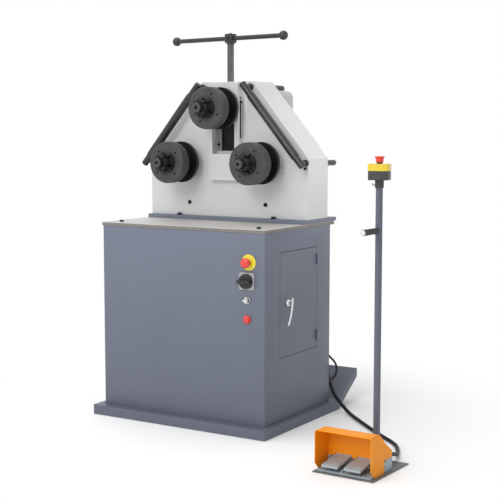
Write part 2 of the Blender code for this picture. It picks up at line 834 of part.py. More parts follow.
def house_outline(inset, roof_inset):
    """The head's house shape, drawn in by a wall's thickness."""
    shoulder = HEAD_FOOT + HEAD_SIDE_HEIGHT
    roof = HEAD_FOOT + HEAD_HEIGHT
    run = HEAD_HALF_WIDTH - HEAD_TOP_HALF_WIDTH
    rise = roof - shoulder
    slant = math.hypot(run, rise)
    half = HEAD_HALF_WIDTH - inset
    shoulder_in = shoulder - inset * (slant - rise) / run
    roof_in = roof - roof_inset
    top_half = half - (roof_in - shoulder_in) * run / rise
    return [
        (-half, HEAD_FOOT + inset), (half, HEAD_FOOT + inset), (half, shoulder_in),
        (top_half, roof_in), (-top_half, roof_in), (-half, shoulder_in),
    ]


def build_head():
    """The head is a hollow steel house with a slot, guide cheeks and bearing bosses."""
    middle_y = (HEAD_FRONT + HEAD_REAR) / 2
    head = plate("head_housing", [house_outline(0, 0)], HEAD_DEPTH, "XZ", (0, middle_y, 0), finish=PAINT_GREY)
    inner_front = HEAD_FRONT + HEAD_FRONT_WALL
    inner_rear = HEAD_REAR - HEAD_WALL
    inner = house_outline(HEAD_WALL, HEAD_TOP_WALL)
    hollow = plate(
        "head_hollow", [inner], inner_rear - inner_front, "XZ", (0, (inner_front + inner_rear) / 2, 0)
    )
    slot = box(
        "head_slot",
        (-SLOT_HALF_WIDTH, HEAD_FRONT - OVERRUN, HEAD_FOOT + SLOT_FOOT),
        (SLOT_HALF_WIDTH, inner_front + OVERRUN, HEAD_FOOT + SLOT_TOP),
    )
    cut(head, hollow, slot)
    added = []
    for side in (-1, 1):
        x_inner = side * CHEEK_INNER
        x_outer = side * CHEEK_OUTER
        low_x, high_x = sorted((x_inner, x_outer))
        cheek = box(
            "guide_cheek",
            (low_x, CHEEK_FRONT, HEAD_FOOT + SLOT_FOOT - LEDGE_HEIGHT),
            (high_x, CHEEK_REAR, HEAD_FOOT + HEAD_HEIGHT - HEAD_TOP_WALL + WELD),
        )
        low_x, high_x = sorted((side * SLOT_HALF_WIDTH, x_outer - side * WELD))
        neck = box(
            "cheek_neck",
            (low_x, inner_front - WELD, HEAD_FOOT + SLOT_FOOT - LEDGE_HEIGHT + WELD),
            (high_x, CHEEK_FRONT + WELD, HEAD_FOOT + HEAD_HEIGHT - HEAD_TOP_WALL + WELD * 2),
        )
        added += [cheek, neck]
        x = side * LOWER_SPACING
        seat = rod(
            "bearing_boss", (x, inner_front - WELD, LOWER_Z), (x, inner_front + BEARING_BOSS_LENGTH, LOWER_Z),
            BEARING_BOSS_RADIUS,
        )
        rear = rod(
            "rear_boss", (x, inner_rear - REAR_BOSS_LENGTH, LOWER_Z), (x, inner_rear + WELD, LOWER_Z),
            BEARING_BOSS_RADIUS,
        )
        added += [seat, rear]
    ledge = box(
        "slot_ledge",
        (-SLOT_HALF_WIDTH - WELD, inner_front - HEAD_FRONT_WALL / 2, HEAD_FOOT + SLOT_FOOT - WELD),
        (SLOT_HALF_WIDTH + WELD, CHEEK_FRONT - GAP, HEAD_FOOT + SLOT_FOOT + LEDGE_HEIGHT),
    )
    pinion_boss = rod(
        "pinion_boss", (0, inner_rear - REAR_BOSS_LENGTH, GEARBOX_Z), (0, inner_rear + WELD, GEARBOX_Z),
        PINION_BOSS_RADIUS,
    )
    fuse(head, *added, ledge, pinion_boss)
    bores = [
        rod(
            "nut_seat", (0, SCREW_Y, HEAD_FOOT + HEAD_HEIGHT - HEAD_TOP_WALL - OVERRUN),
            (0, SCREW_Y, HEAD_FOOT + HEAD_HEIGHT + OVERRUN), NUT_BUSH_RADIUS + GAP,
        ),
        rod(
            "pinion_bore", (0, inner_rear - REAR_BOSS_LENGTH - OVERRUN, GEARBOX_Z),
            (0, HEAD_REAR + OVERRUN, GEARBOX_Z), PINION_SHAFT_RADIUS + RUNNING_GAP,
        ),
    ]
    for side in (-1, 1):
        x = side * LOWER_SPACING
        bores.append(rod(
            "shaft_bore", (x, HEAD_FRONT - OVERRUN, LOWER_Z),
            (x, HEAD_REAR + OVERRUN, LOWER_Z), JOURNAL_RADIUS + RUNNING_GAP,
        ))
    cut(head, *bores)


def build_bearing_flanges():
    """Two thick rings on the head's front hold the bearings of the lower shafts."""
    bore = JOURNAL_RADIUS + RUNNING_GAP
    rear = BEARING_FLANGE_LENGTH - GAP
    profile = [
        (bore, rear), (BEARING_FLANGE_RADIUS, rear), (BEARING_FLANGE_RADIUS, FLANGE_EDGE),
        (BEARING_FLANGE_RADIUS - FLANGE_EDGE, 0), (bore, 0),
    ]
    for side, name in ((-1, "bearing_flange_left"), (1, "bearing_flange_right")):
        start = (side * LOWER_SPACING, HEAD_FRONT - BEARING_FLANGE_LENGTH, LOWER_Z)
        turned(name, profile, start, "Y", SIDES, closed=True, finish=PAINT_GREY)


def build_slot_pieces():
    """The raised frame round the slot, its keepers and the screw's nut."""
    rear = HEAD_FRONT - GAP
    front = rear - FRAME_THICKNESS
    outer = [
        (-FRAME_HALF_WIDTH, HEAD_FOOT + FRAME_FOOT), (FRAME_HALF_WIDTH, HEAD_FOOT + FRAME_FOOT),
        (FRAME_HALF_WIDTH, HEAD_FOOT + HEAD_HEIGHT - FRAME_TOP_MARGIN),
        (-FRAME_HALF_WIDTH, HEAD_FOOT + HEAD_HEIGHT - FRAME_TOP_MARGIN),
    ]
    slot = [
        (-SLOT_HALF_WIDTH, HEAD_FOOT + SLOT_FOOT), (SLOT_HALF_WIDTH, HEAD_FOOT + SLOT_FOOT),
        (SLOT_HALF_WIDTH, HEAD_FOOT + SLOT_TOP), (-SLOT_HALF_WIDTH, HEAD_FOOT + SLOT_TOP),
    ]
    frame = plate(
        "slot_frame", [outer, slot], FRAME_THICKNESS, "XZ", (0, (front + rear) / 2, 0), finish=PAINT_GREY
    )
    slit_y = front + POINTER_SLIT_SETBACK
    slit = box(
        "pointer_slit",
        (SLOT_HALF_WIDTH - OVERRUN, slit_y, HEAD_FOOT + SLIT_FOOT),
        (FRAME_HALF_WIDTH + OVERRUN, slit_y + POINTER_SLIT, HEAD_FOOT + SLIT_TOP),
    )
    cut(frame, slit)
    for side, name in ((-1, "slide_keeper_left"), (1, "slide_keeper_right")):
        low_x, high_x = sorted((side * (TONGUE_HALF_WIDTH + GAP), side * (SLOT_HALF_WIDTH - GAP)))
        box(
            name,
            (low_x, KEEPER_FRONT, HEAD_FOOT + SLOT_FOOT + LEDGE_HEIGHT + GAP),
            (high_x, KEEPER_FRONT + KEEPER_THICKNESS, HEAD_FOOT + KEEPER_TOP),
            finish=MACHINED,
        )
    turned(
        "screw_nut",
        [
            (SCREW_RADIUS + RUNNING_GAP, HEAD_HEIGHT), (NUT_BUSH_RADIUS, HEAD_HEIGHT),
            (NUT_BUSH_RADIUS, HEAD_HEIGHT - HEAD_TOP_WALL + GAP),
            (SCREW_RADIUS + RUNNING_GAP, HEAD_HEIGHT - HEAD_TOP_WALL + GAP),
        ],
        (0, SCREW_Y, HEAD_FOOT), closed=True, finish=BRONZE,
    )


def build_slide(origin):
    """The slide carries the upper shaft; its apron closes the slot below."""
    foot = UPPER_Z - SLIDE_BELOW_SHAFT
    top = UPPER_Z + SLIDE_ABOVE_SHAFT
    shoulder = CHEEK_INNER - GAP
    slide = box(
        "slide_block", (-shoulder, SHOULDER_FRONT, foot), (shoulder, CHEEK_REAR, top), origin,
        finish=BLACK_STEEL,
    )
    tongue_front = HEAD_FRONT + TONGUE_SETBACK
    tongue = box(
        "slide_tongue", (-TONGUE_HALF_WIDTH, tongue_front, foot),
        (TONGUE_HALF_WIDTH, SHOULDER_FRONT + WELD, UPPER_Z + TONGUE_ABOVE_SHAFT),
    )
    apron = box(
        "slide_apron", (-shoulder, SHOULDER_FRONT, HEAD_FOOT + APRON_FOOT),
        (shoulder, SHOULDER_FRONT + APRON_THICKNESS, foot + WELD),
    )
    boss = rod(
        "slide_boss", (0, FRONT + SLIDE_BOSS_SETBACK, UPPER_Z), (0, tongue_front + WELD, UPPER_Z), SLIDE_BOSS_RADIUS
    )
    pointer_z = HEAD_FOOT + POINTER_HEIGHT
    slit_y = HEAD_FRONT - GAP - FRAME_THICKNESS + POINTER_SLIT_SETBACK
    arm_y = slit_y + (POINTER_SLIT - POINTER_SECTION) / 2
    root_x = TONGUE_HALF_WIDTH - POINTER_SLIT
    root = box(
        "pointer_root", (root_x, arm_y, pointer_z - POINTER_SECTION / 2),
        (TONGUE_HALF_WIDTH, tongue_front + WELD, pointer_z + POINTER_SECTION / 2),
    )
    arm = box(
        "pointer_arm", (root_x, arm_y, pointer_z - POINTER_SECTION / 2),
        (POINTER_REACH, arm_y + POINTER_SECTION, pointer_z + POINTER_SECTION / 2),
    )
    pointer = fuse(root, arm)
    fuse(slide, tongue, apron, boss, pointer)
    collar_top = top - SCREW_ENTRY + SCREW_COLLAR_LENGTH + GAP
    cut(
        slide,
        rod(
            "slide_bore", (0, FRONT + SLIDE_BOSS_SETBACK - OVERRUN, UPPER_Z), (0, CHEEK_REAR + OVERRUN, UPPER_Z),
            JOURNAL_RADIUS + RUNNING_GAP,
        ),
        rod(
            "screw_pocket", (0, SCREW_Y, top - SCREW_ENTRY - GAP), (0, SCREW_Y, collar_top),
            SCREW_COLLAR_RADIUS + RUNNING_GAP,
        ),
        rod(
            "screw_entry", (0, SCREW_Y, collar_top - GAP), (0, SCREW_Y, top + OVERRUN),
            SCREW_NECK_RADIUS + RUNNING_GAP,
        ),
    )
    return slide


def build_screw():
    """The pressure screw with its square hub, and the ball-ended bar through the hub."""
    foot = UPPER_Z + SLIDE_ABOVE_SHAFT - SCREW_ENTRY
    thread_foot = UPPER_Z + SLIDE_ABOVE_SHAFT + GAP
    hub_top = HUB_Z + HUB_HEIGHT
    origin = (0, SCREW_Y, foot)
    profile = [
        (0, HUB_Z - foot + WELD), (HUB_COLLAR_RADIUS, HUB_Z - foot + WELD),
        (HUB_COLLAR_RADIUS, HUB_Z - HUB_COLLAR_LENGTH - foot),
        (SCREW_RADIUS, HUB_Z - HUB_COLLAR_LENGTH - foot), (SCREW_RADIUS, thread_foot - foot),
        (SCREW_NECK_RADIUS, thread_foot - foot), (SCREW_NECK_RADIUS, SCREW_COLLAR_LENGTH),
        (SCREW_COLLAR_RADIUS, SCREW_COLLAR_LENGTH), (SCREW_COLLAR_RADIUS, 0), (0, 0),
    ]
    screw = turned("pressure_screw", profile, origin, finish=DARK_STEEL)
    hub = box(
        "screw_hub", (-HUB_SIZE / 2, SCREW_Y - HUB_SIZE / 2, HUB_Z), (HUB_SIZE / 2, SCREW_Y + HUB_SIZE / 2, hub_top)
    )
    hub.rotation_euler = (0, 0, TOMMY_TURN)
    edge = hub.modifiers.new("edge", "BEVEL")
    edge.width = HUB_EDGE
    edge.segments = 2
    along = Vector((math.cos(TOMMY_TURN), math.sin(TOMMY_TURN), 0))
    middle = Vector((0, SCREW_Y, (HUB_Z + hub_top) / 2))
    bore = rod(
        "tommy_bore", middle - along * HUB_SIZE, middle + along * HUB_SIZE, TOMMY_RADIUS + GAP, SMALL_SIDES
    )
    fuse(screw, hub)
    cut(screw, bore)
    left = middle - along * (TOMMY_LENGTH / 2 + TOMMY_OFFSET)
    right = middle + along * (TOMMY_LENGTH / 2 - TOMMY_OFFSET)
    bar = rod("tommy_bar", left, right, TOMMY_RADIUS, SMALL_SIDES, origin=middle, finish=DARK_STEEL)
    fuse(bar, ball("left_ball", left, BALL_RADIUS, middle), ball("right_ball", right, BALL_RADIUS, middle))


def shaft_profile(rear, collar_end, rear_collar):
    """Profile of a roller shaft from its tip backward, as distances from the tip, rear end first."""
    length = rear - SHAFT_TIP_SETBACK
    seat = ROLLER_REAR + GAP - SHAFT_TIP_SETBACK
    collar = collar_end - SHAFT_TIP_SETBACK
    points = []
    if rear_collar:
        points += [
            (0, length), (REAR_COLLAR_RADIUS, length), (REAR_COLLAR_RADIUS, length - REAR_COLLAR_LENGTH),
            (JOURNAL_RADIUS, length - REAR_COLLAR_LENGTH),
        ]
    else:
        points += [(0, length), (JOURNAL_RADIUS - SHAFT_EDGE, length), (JOURNAL_RADIUS, length - SHAFT_EDGE)]
    points += [
        (JOURNAL_RADIUS, collar), (COLLAR_RADIUS, collar), (COLLAR_RADIUS, seat), (SHAFT_RADIUS, seat),
        (SHAFT_RADIUS, SHAFT_EDGE), (SHAFT_RADIUS - SHAFT_EDGE, 0), (SHAFT_CENTRE_RADIUS, 0),
        (0, SHAFT_CENTRE_DEPTH),
    ]
    return points


def roller_profile():
    """Closed profile of a roller, as distances from its front face, rear end first."""
    bore = SHAFT_RADIUS + GAP
    face = ROLLER_FACE_LENGTH
    step = face + ROLLER_STEP_LENGTH
    groove = step + ROLLER_GROOVE
    rear = ROLLER_LENGTH
    small = ROLLER_RADIUS - ROLLER_STEP
    return [
        (bore, rear), (ROLLER_RADIUS - ROLLER_EDGE, rear), (ROLLER_RADIUS, rear - ROLLER_EDGE),
        (ROLLER_RADIUS, groove), (ROLLER_HUB_RADIUS, groove), (ROLLER_HUB_RADIUS, step), (small, step),
        (small, face), (ROLLER_RADIUS, face), (ROLLER_RADIUS, ROLLER_EDGE), (ROLLER_RADIUS - ROLLER_EDGE, 0),
        (ROLLER_RECESS_RADIUS, 0), (ROLLER_RECESS_RADIUS, ROLLER_RECESS_DEPTH), (bore, ROLLER_RECESS_DEPTH),
    ]


def build_roller_set(prefix, x, z, rear, collar_end, rear_collar, phase):
    """A shaft, its roller and the slotted nut that clamps it, on one axis."""
    origin = (x, FRONT + SHAFT_TIP_SETBACK, z)
    turned(
        prefix + "_shaft", shaft_profile(rear, collar_end, rear_collar), origin, "Y", SIDES, finish=DARK_STEEL
    )
    face = (x, FRONT + ROLLER_SETBACK, z)
    roller = turned(prefix + "_roller", roller_profile(), face, "Y", FINE_SIDES, closed=True, finish=DARK_STEEL)
    holes = []
    for number in range(JACK_HOLES):
        angle = phase + 2 * math.pi * number / JACK_HOLES
        hole_x = x + JACK_HOLE_CIRCLE * math.cos(angle)
        hole_z = z + JACK_HOLE_CIRCLE * math.sin(angle)
        holes.append(rod(
            f"{prefix}_jack_hole_{number}", (hole_x, face[1] - OVERRUN, hole_z),
            (hole_x, face[1] + JACK_HOLE_DEPTH, hole_z), JACK_HOLE_RADIUS, SMALL_SIDES // 2,
        ))
    cut(roller, *holes)
    length = ROLLER_SETBACK + ROLLER_RECESS_DEPTH - GAP - CLAMP_SETBACK
    bore = SHAFT_RADIUS + GAP
    flange = length - CLAMP_FLANGE_LENGTH
    profile = [
        (bore, length), (CLAMP_FLANGE_RADIUS, length), (CLAMP_FLANGE_RADIUS, flange + CLAMP_EDGE),
        (CLAMP_FLANGE_RADIUS - CLAMP_EDGE, flange), (CLAMP_RADIUS, flange), (CLAMP_RADIUS, CLAMP_EDGE),
        (CLAMP_RADIUS - CLAMP_EDGE, 0), (bore, 0),
    ]
    nut_origin = (x, FRONT + CLAMP_SETBACK, z)
    nut = turned(prefix + "_clamp_nut", profile, nut_origin, "Y", SIDES, closed=True, finish=DARK_STEEL)
    bm = bmesh.new()
    reach = CLAMP_FLANGE_RADIUS + OVERRUN - CLAMP_SLOT_FLOOR
    run = flange + CLAMP_SLOT_RUNOUT + OVERRUN
    for number in range(CLAMP_SLOTS):
        angle = phase + 2 * math.pi * number / CLAMP_SLOTS
        shape = (
            Matrix.Rotation(-angle, 4, "Y")
            @ Matrix.Translation((CLAMP_SLOT_FLOOR + reach / 2, run / 2 - OVERRUN, 0))
            @ Matrix.Diagonal((reach, run, CLAMP_SLOT_WIDTH, 1))
        )
        bmesh.ops.create_cube(bm, size=1, matrix=shape)
    cut(nut, place(prefix + "_nut_slots", mesh_from(bm, "nut_slots"), nut_origin))


def gear_outline(teeth, gap_at_zero):
    """A spur gear's outline: each flank has points at the root, the pitch circle and the tip."""
    pitch = GEAR_MODULE * teeth / 2
    root = pitch - GEAR_MODULE * 1.25
    tip = pitch + GEAR_MODULE
    quarter = (math.pi * GEAR_MODULE / 2 - GEAR_BACKLASH) / 2 / pitch
    pressure = math.radians(20)
    base = pitch * math.cos(pressure)
    at_pitch = math.tan(pressure) - pressure
    tip_pressure = math.acos(base / tip)
    tip_half = quarter - (math.tan(tip_pressure) - tip_pressure - at_pitch)
    root_half = quarter + at_pitch
    start = math.pi / teeth if gap_at_zero else 0
    points = []
    for tooth in range(teeth):
        middle = start + 2 * math.pi * tooth / teeth
        for radius, turn in (
            (root, -root_half), (pitch, -quarter), (tip, -tip_half),
            (tip, tip_half), (pitch, quarter), (root, root_half),
        ):
            angle = middle + turn
            points.append((radius * math.cos(angle), radius * math.sin(angle)))
    return points


def build_gears():
    """Two gears on the lower shafts, both in mesh with the pinion between them."""
    middle_y = FRONT + GEAR_SETBACK + GEAR_WIDTH / 2
    for side, name in ((-1, "left_gear"), (1, "right_gear")):
        loops = [gear_outline(GEAR_TEETH, False), circle(0, 0, JOURNAL_RADIUS + GAP, SIDES)]
        for number in range(GEAR_HOLES):
            angle = 2 * math.pi * number / GEAR_HOLES
            hole_x = GEAR_HOLE_CIRCLE * math.cos(angle)
            hole_y = GEAR_HOLE_CIRCLE * math.sin(angle)
            loops.append(circle(hole_x, hole_y, GEAR_HOLE_RADIUS, SMALL_SIDES // 2))
        plate(name, loops, GEAR_WIDTH, "XZ", (side * LOWER_SPACING, middle_y, LOWER_Z), finish=BRIGHT_STEEL)
    pinion = plate(
        "drive_pinion", [gear_outline(PINION_TEETH, True)], GEAR_WIDTH, "XZ", (0, middle_y, GEARBOX_Z),
        finish=BRIGHT_STEEL,
    )
    front = FRONT + GEAR_SETBACK - PINION_SHAFT_FRONT
    rear = FRONT + MOTOR_SETBACK + GEARBOX_DEPTH / 2
    fuse(pinion, rod("pinion_shaft", (0, front, GEARBOX_Z), (0, rear, GEARBOX_Z), PINION_SHAFT_RADIUS))


def build_gearmotor():
    """A worm gearbox hangs on the head's back and carries an upright motor with its fan cowl."""
    y = FRONT + MOTOR_SETBACK
    front = y - GEARBOX_DEPTH / 2
    rear = y + GEARBOX_DEPTH / 2
    gearbox = rod("gearbox", (0, front, GEARBOX_Z), (0, rear, GEARBOX_Z), GEARBOX_RADIUS, finish=PAINT_GREY)
    neck = rod("gearbox_neck", (0, HEAD_REAR + GAP, GEARBOX_Z), (0, front + WELD, GEARBOX_Z), GEARBOX_NECK_RADIUS)
    tube_top = GEARBOX_Z + WORM_TUBE_ABOVE
    tube = rod(
        "worm_tube", (WORM_OFFSET, y, GEARBOX_Z - WORM_TUBE_BELOW), (WORM_OFFSET, y, tube_top), WORM_TUBE_RADIUS
    )
    flange = rod(
        "motor_flange", (WORM_OFFSET, y, tube_top - WELD), (WORM_OFFSET, y, tube_top + MOTOR_FLANGE_LENGTH),
        MOTOR_FLANGE_RADIUS,
    )
    fuse(gearbox, neck, tube, flange)
    bore = rod(
        "gearbox_bore", (0, HEAD_REAR - OVERRUN, GEARBOX_Z), (0, rear + OVERRUN, GEARBOX_Z),
        PINION_SHAFT_RADIUS + RUNNING_GAP,
    )
    cut(gearbox, bore)
    fins = []
    for number in range(MOTOR_FINS * 4):
        angle = 2 * math.pi * (number + 0.5) / (MOTOR_FINS * 4)
        radius = MOTOR_FIN_RADIUS if number % 4 < 2 else MOTOR_ROOT_RADIUS
        fins.append((radius * math.cos(angle), radius * math.sin(angle)))
    motor = plate(
        "motor_body", [fins], MOTOR_LENGTH, "XY", (WORM_OFFSET, y, MOTOR_FOOT + MOTOR_LENGTH / 2), finish=PAINT_GREY
    )
    box_foot = MOTOR_FOOT + TERMINAL_BOX_FOOT
    terminal = box(
        "terminal_box",
        (WORM_OFFSET - TERMINAL_BOX_WIDTH / 2, y, box_foot),
        (
            WORM_OFFSET + TERMINAL_BOX_WIDTH / 2, y + MOTOR_FIN_RADIUS + TERMINAL_BOX_DEPTH,
            box_foot + TERMINAL_BOX_HEIGHT,
        ),
    )
    fuse(motor, terminal)
    shoulder = []
    for number in range(CORNER_STEPS + 1):
        angle = math.pi / 2 * number / CORNER_STEPS
        along = COWL_LENGTH - COWL_EDGE * (1 - math.cos(angle))
        shoulder.append((COWL_RADIUS - COWL_EDGE * (1 - math.sin(angle)), along))
    turned(
        "fan_cowl",
        [
            (0, COWL_LENGTH), *shoulder, (COWL_RADIUS, 0), (0, 0),
        ],
        (WORM_OFFSET, y, COWL_FOOT), finish=PAINT_GREY,
    )


def build_rest_rods():
    """Three rods behind the head; with the plinth's tail they carry the machine laid back."""
    places = (
        ("rest_rod_left", LOWER_ROD_INSET - HEAD_HALF_WIDTH, HEAD_FOOT + LOWER_ROD_HEIGHT),
        ("rest_rod_right", HEAD_HALF_WIDTH - LOWER_ROD_INSET, HEAD_FOOT + LOWER_ROD_HEIGHT),
        ("rest_rod_top", UPPER_ROD_OFFSET, UPPER_ROD_Z),
    )
    length = TAIL_END - HEAD_REAR - GAP
    profile = [
        (0, length), (ROD_RADIUS - ROD_END_EDGE, length), (ROD_RADIUS, length - ROD_END_EDGE),
        (ROD_RADIUS, ROD_NUT_LENGTH), (ROD_NUT_RADIUS, ROD_NUT_LENGTH), (ROD_NUT_RADIUS, 0), (0, 0),
    ]
    for name, x, z in places:
        turned(name, profile, (x, HEAD_REAR + GAP, z), "Y", SMALL_SIDES, finish=DARK_STEEL)


def build_guide_bars():
    """Two round bars along the head's slopes, each on two pins that stand on the front face."""
    run = HEAD_HALF_WIDTH - HEAD_TOP_HALF_WIDTH
    rise = HEAD_HEIGHT - HEAD_SIDE_HEIGHT
    slant = math.hypot(run, rise)
    y = FRONT + BAR_SETBACK
    for side, name in ((-1, "guide_bar_left"), (1, "guide_bar_right")):
        down = Vector((side * run / slant, 0, -rise / slant))
        inward = Vector((-side * rise / slant, 0, -run / slant))
        corner = Vector((side * HEAD_TOP_HALF_WIDTH, y, HEAD_FOOT + HEAD_HEIGHT)) + inward * BAR_INSET

        def at(distance):
            return corner + down * distance

        length = BAR_END - BAR_START
        profile = [
            (0, length), (BAR_END_RADIUS - BAR_EDGE, length), (BAR_END_RADIUS, length - BAR_EDGE),
            (BAR_END_RADIUS, BAR_THICK_END - BAR_START), (BAR_RADIUS, BAR_THICK_END - BAR_START - BAR_EDGE),
            (BAR_RADIUS, BAR_THICK_START - BAR_START + BAR_EDGE), (BAR_END_RADIUS, BAR_THICK_START - BAR_START),
            (BAR_END_RADIUS, BAR_EDGE), (BAR_END_RADIUS - BAR_EDGE, 0), (0, 0),
        ]
        bar = turned(name, profile, at(BAR_START), "Z", SMALL_SIDES, finish=DARK_STEEL)
        turn = Vector((0, 0, 1)).rotation_difference(down).to_matrix().to_4x4()
        bar.data.transform(turn)
        pins = []
        for number, distance in enumerate((BAR_START + BAR_PIN_INSET, BAR_END - BAR_PIN_INSET)):
            centre = at(distance)
            face = Vector((centre.x, HEAD_FRONT - GAP, centre.z))
            shoulder = face - Vector((0, BAR_PIN_FOOT_LENGTH, 0))
            pins.append(rod(f"{name}_pin_{number}", centre, face, BAR_PIN_RADIUS, SMALL_SIDES))
            pins.append(rod(f"{name}_foot_{number}", shoulder, face, BAR_PIN_FOOT_RADIUS, SMALL_SIDES))
        fuse(bar, *pins)


def contact_block(name, x, z):
    """The block behind the panel that a device switches."""
    low_y = FRONT + CABINET_SHEET + CONTACT_BLOCK_GAP
    half = CONTACT_BLOCK / 2
    return box(name, (x - half, low_y, z - half), (x + half, low_y + CONTACT_BLOCK_DEPTH, z + half))


def barrel(name, x, z, front):
    """The round neck that passes through the panel."""
    rear = FRONT + CABINET_SHEET + CONTACT_BLOCK_GAP + WELD
    return rod(name, (x, front, z), (x, rear, z), BARREL_RADIUS)


def build_controls():
    """Emergency stop, main isolator, selector and pilot lamp in the front panel."""
    (stop_x, stop_z), (isolator_x, isolator_z), (selector_x, selector_z), (lamp_x, lamp_z) = panel_places()
    face = FRONT - GAP

    label = rod(
        "stop_label", (stop_x, face - STOP_LABEL_THICKNESS, stop_z), (stop_x, face, stop_z), STOP_LABEL_RADIUS,
        finish=YELLOW,
    )
    fuse(label, barrel("stop_barrel", stop_x, stop_z, face - WELD), contact_block("stop_block", stop_x, stop_z))
    front = face - STOP_LABEL_THICKNESS
    stem_end = front - STOP_CAP_SETOFF + STOP_STEM_LENGTH + STOP_CAP_SETOFF
    cut(label, rod(
        "stop_stem_bore", (stop_x, front - OVERRUN, stop_z), (stop_x, stem_end + STOP_TRAVEL + GAP, stop_z),
        STOP_STEM_RADIUS + RUNNING_GAP,
    ))
    cap_back = STOP_CAP_SETOFF
    cap_front = STOP_CAP_SETOFF + STOP_CAP_LENGTH
    turned(
        "stop_mushroom",
        [
            (0, cap_front), (STOP_CAP_RADIUS * 0.55, cap_front - STOP_CAP_LENGTH * 0.06),
            (STOP_CAP_RADIUS * 0.86, cap_front - STOP_CAP_LENGTH * 0.24),
            (STOP_CAP_RADIUS, cap_front - STOP_CAP_LENGTH * 0.50),
            (STOP_CAP_RADIUS, cap_front - STOP_CAP_LENGTH * 0.68),
            (STOP_CAP_NECK, cap_back), (STOP_CAP_NECK, STOP_TRAVEL + GAP), (STOP_STEM_RADIUS, STOP_TRAVEL + GAP),
            (STOP_STEM_RADIUS, -STOP_STEM_LENGTH), (0, -STOP_STEM_LENGTH),
        ],
        (stop_x, front, stop_z), "-Y", finish=RED,
    )

    half = ISOLATOR_PLATE / 2
    outline = rounded(-half, half, -half, half, ISOLATOR_CORNER)
    plate_front = face - ISOLATOR_THICKNESS
    base = plate(
        "isolator_plate", [outline], ISOLATOR_THICKNESS, "XZ", (isolator_x, (face + plate_front) / 2, isolator_z),
        finish=GREY_PLASTIC,
    )
    fuse(
        base, barrel("isolator_barrel", isolator_x, isolator_z, face - WELD),
        contact_block("isolator_block", isolator_x, isolator_z),
    )
    spindle_end = FRONT + CABINET_SHEET
    cut(base, rod(
        "isolator_bore", (isolator_x, plate_front - OVERRUN, isolator_z), (isolator_x, spindle_end + GAP, isolator_z),
        ISOLATOR_SPINDLE_RADIUS + RUNNING_GAP,
    ))
    knob_back = plate_front - GAP
    knob_front = knob_back - ISOLATOR_KNOB_LENGTH
    centre = (isolator_x, knob_back, isolator_z)
    knob = rod(
        "isolator_knob", centre, (isolator_x, knob_front, isolator_z), ISOLATOR_KNOB_RADIUS, origin=centre,
        finish=BLACK_PLASTIC,
    )
    grip = box(
        "isolator_grip",
        (isolator_x - ISOLATOR_GRIP_LENGTH / 2, knob_front - ISOLATOR_GRIP_DEPTH, isolator_z - ISOLATOR_GRIP_WIDTH / 2),
        (isolator_x + ISOLATOR_GRIP_LENGTH / 2, knob_front + WELD, isolator_z + ISOLATOR_GRIP_WIDTH / 2),
    )
    edge = grip.modifiers.new("edge", "BEVEL")
    edge.width = ISOLATOR_GRIP_WIDTH / 4
    edge.segments = 2
    spindle = rod(
        "isolator_spindle", (isolator_x, knob_back - WELD, isolator_z), (isolator_x, spindle_end, isolator_z),
        ISOLATOR_SPINDLE_RADIUS, SMALL_SIDES,
    )
    fuse(knob, grip, spindle)

    bezel_profile = [
        (0, BEZEL_EDGE), (SELECTOR_RADIUS + RUNNING_GAP, BEZEL_EDGE),
        (SELECTOR_RADIUS + RUNNING_GAP, BEZEL_LENGTH), (BEZEL_RADIUS - BEZEL_EDGE, BEZEL_LENGTH),
        (BEZEL_RADIUS, BEZEL_LENGTH - BEZEL_EDGE), (BEZEL_RADIUS, 0), (0, 0),
    ]
    bezel = turned(
        "selector_bezel", bezel_profile, (selector_x, face, selector_z), "-Y", finish=BRIGHT_STEEL
    )
    fuse(
        bezel, barrel("selector_barrel", selector_x, selector_z, face - BEZEL_EDGE / 2),
        contact_block("selector_block", selector_x, selector_z),
    )
    knob_back = face - BEZEL_EDGE - GAP
    knob_front = knob_back - SELECTOR_LENGTH
    centre = (selector_x, knob_back, selector_z)
    selector = rod(
        "selector_knob", centre, (selector_x, knob_front, selector_z), SELECTOR_RADIUS, origin=centre,
        finish=BLACK_PLASTIC,
    )
    fuse(selector, box(
        "selector_grip",
        (selector_x - SELECTOR_RADIUS + WELD, knob_front - SELECTOR_GRIP_DEPTH, selector_z - SELECTOR_GRIP_WIDTH / 2),
        (selector_x + SELECTOR_RADIUS - WELD, knob_front + WELD, selector_z + SELECTOR_GRIP_WIDTH / 2),
    ))

    lens_profile = [
        (0, BEZEL_LENGTH + LENS_LENGTH), (LENS_RADIUS * 0.7, BEZEL_LENGTH + LENS_LENGTH * 0.85),
        (LENS_RADIUS, BEZEL_LENGTH + LENS_LENGTH * 0.4), (LENS_RADIUS, BEZEL_LENGTH),
        (LAMP_BEZEL_RADIUS - BEZEL_EDGE, BEZEL_LENGTH), (LAMP_BEZEL_RADIUS, BEZEL_LENGTH - BEZEL_EDGE),
        (LAMP_BEZEL_RADIUS, 0), (0, 0),
    ]
    lamp = turned("pilot_lamp", lens_profile, (lamp_x, face, lamp_z), "-Y", finish=RED)
    fuse(lamp, barrel("lamp_barrel", lamp_x, lamp_z, face - WELD), contact_block("lamp_block", lamp_x, lamp_z))


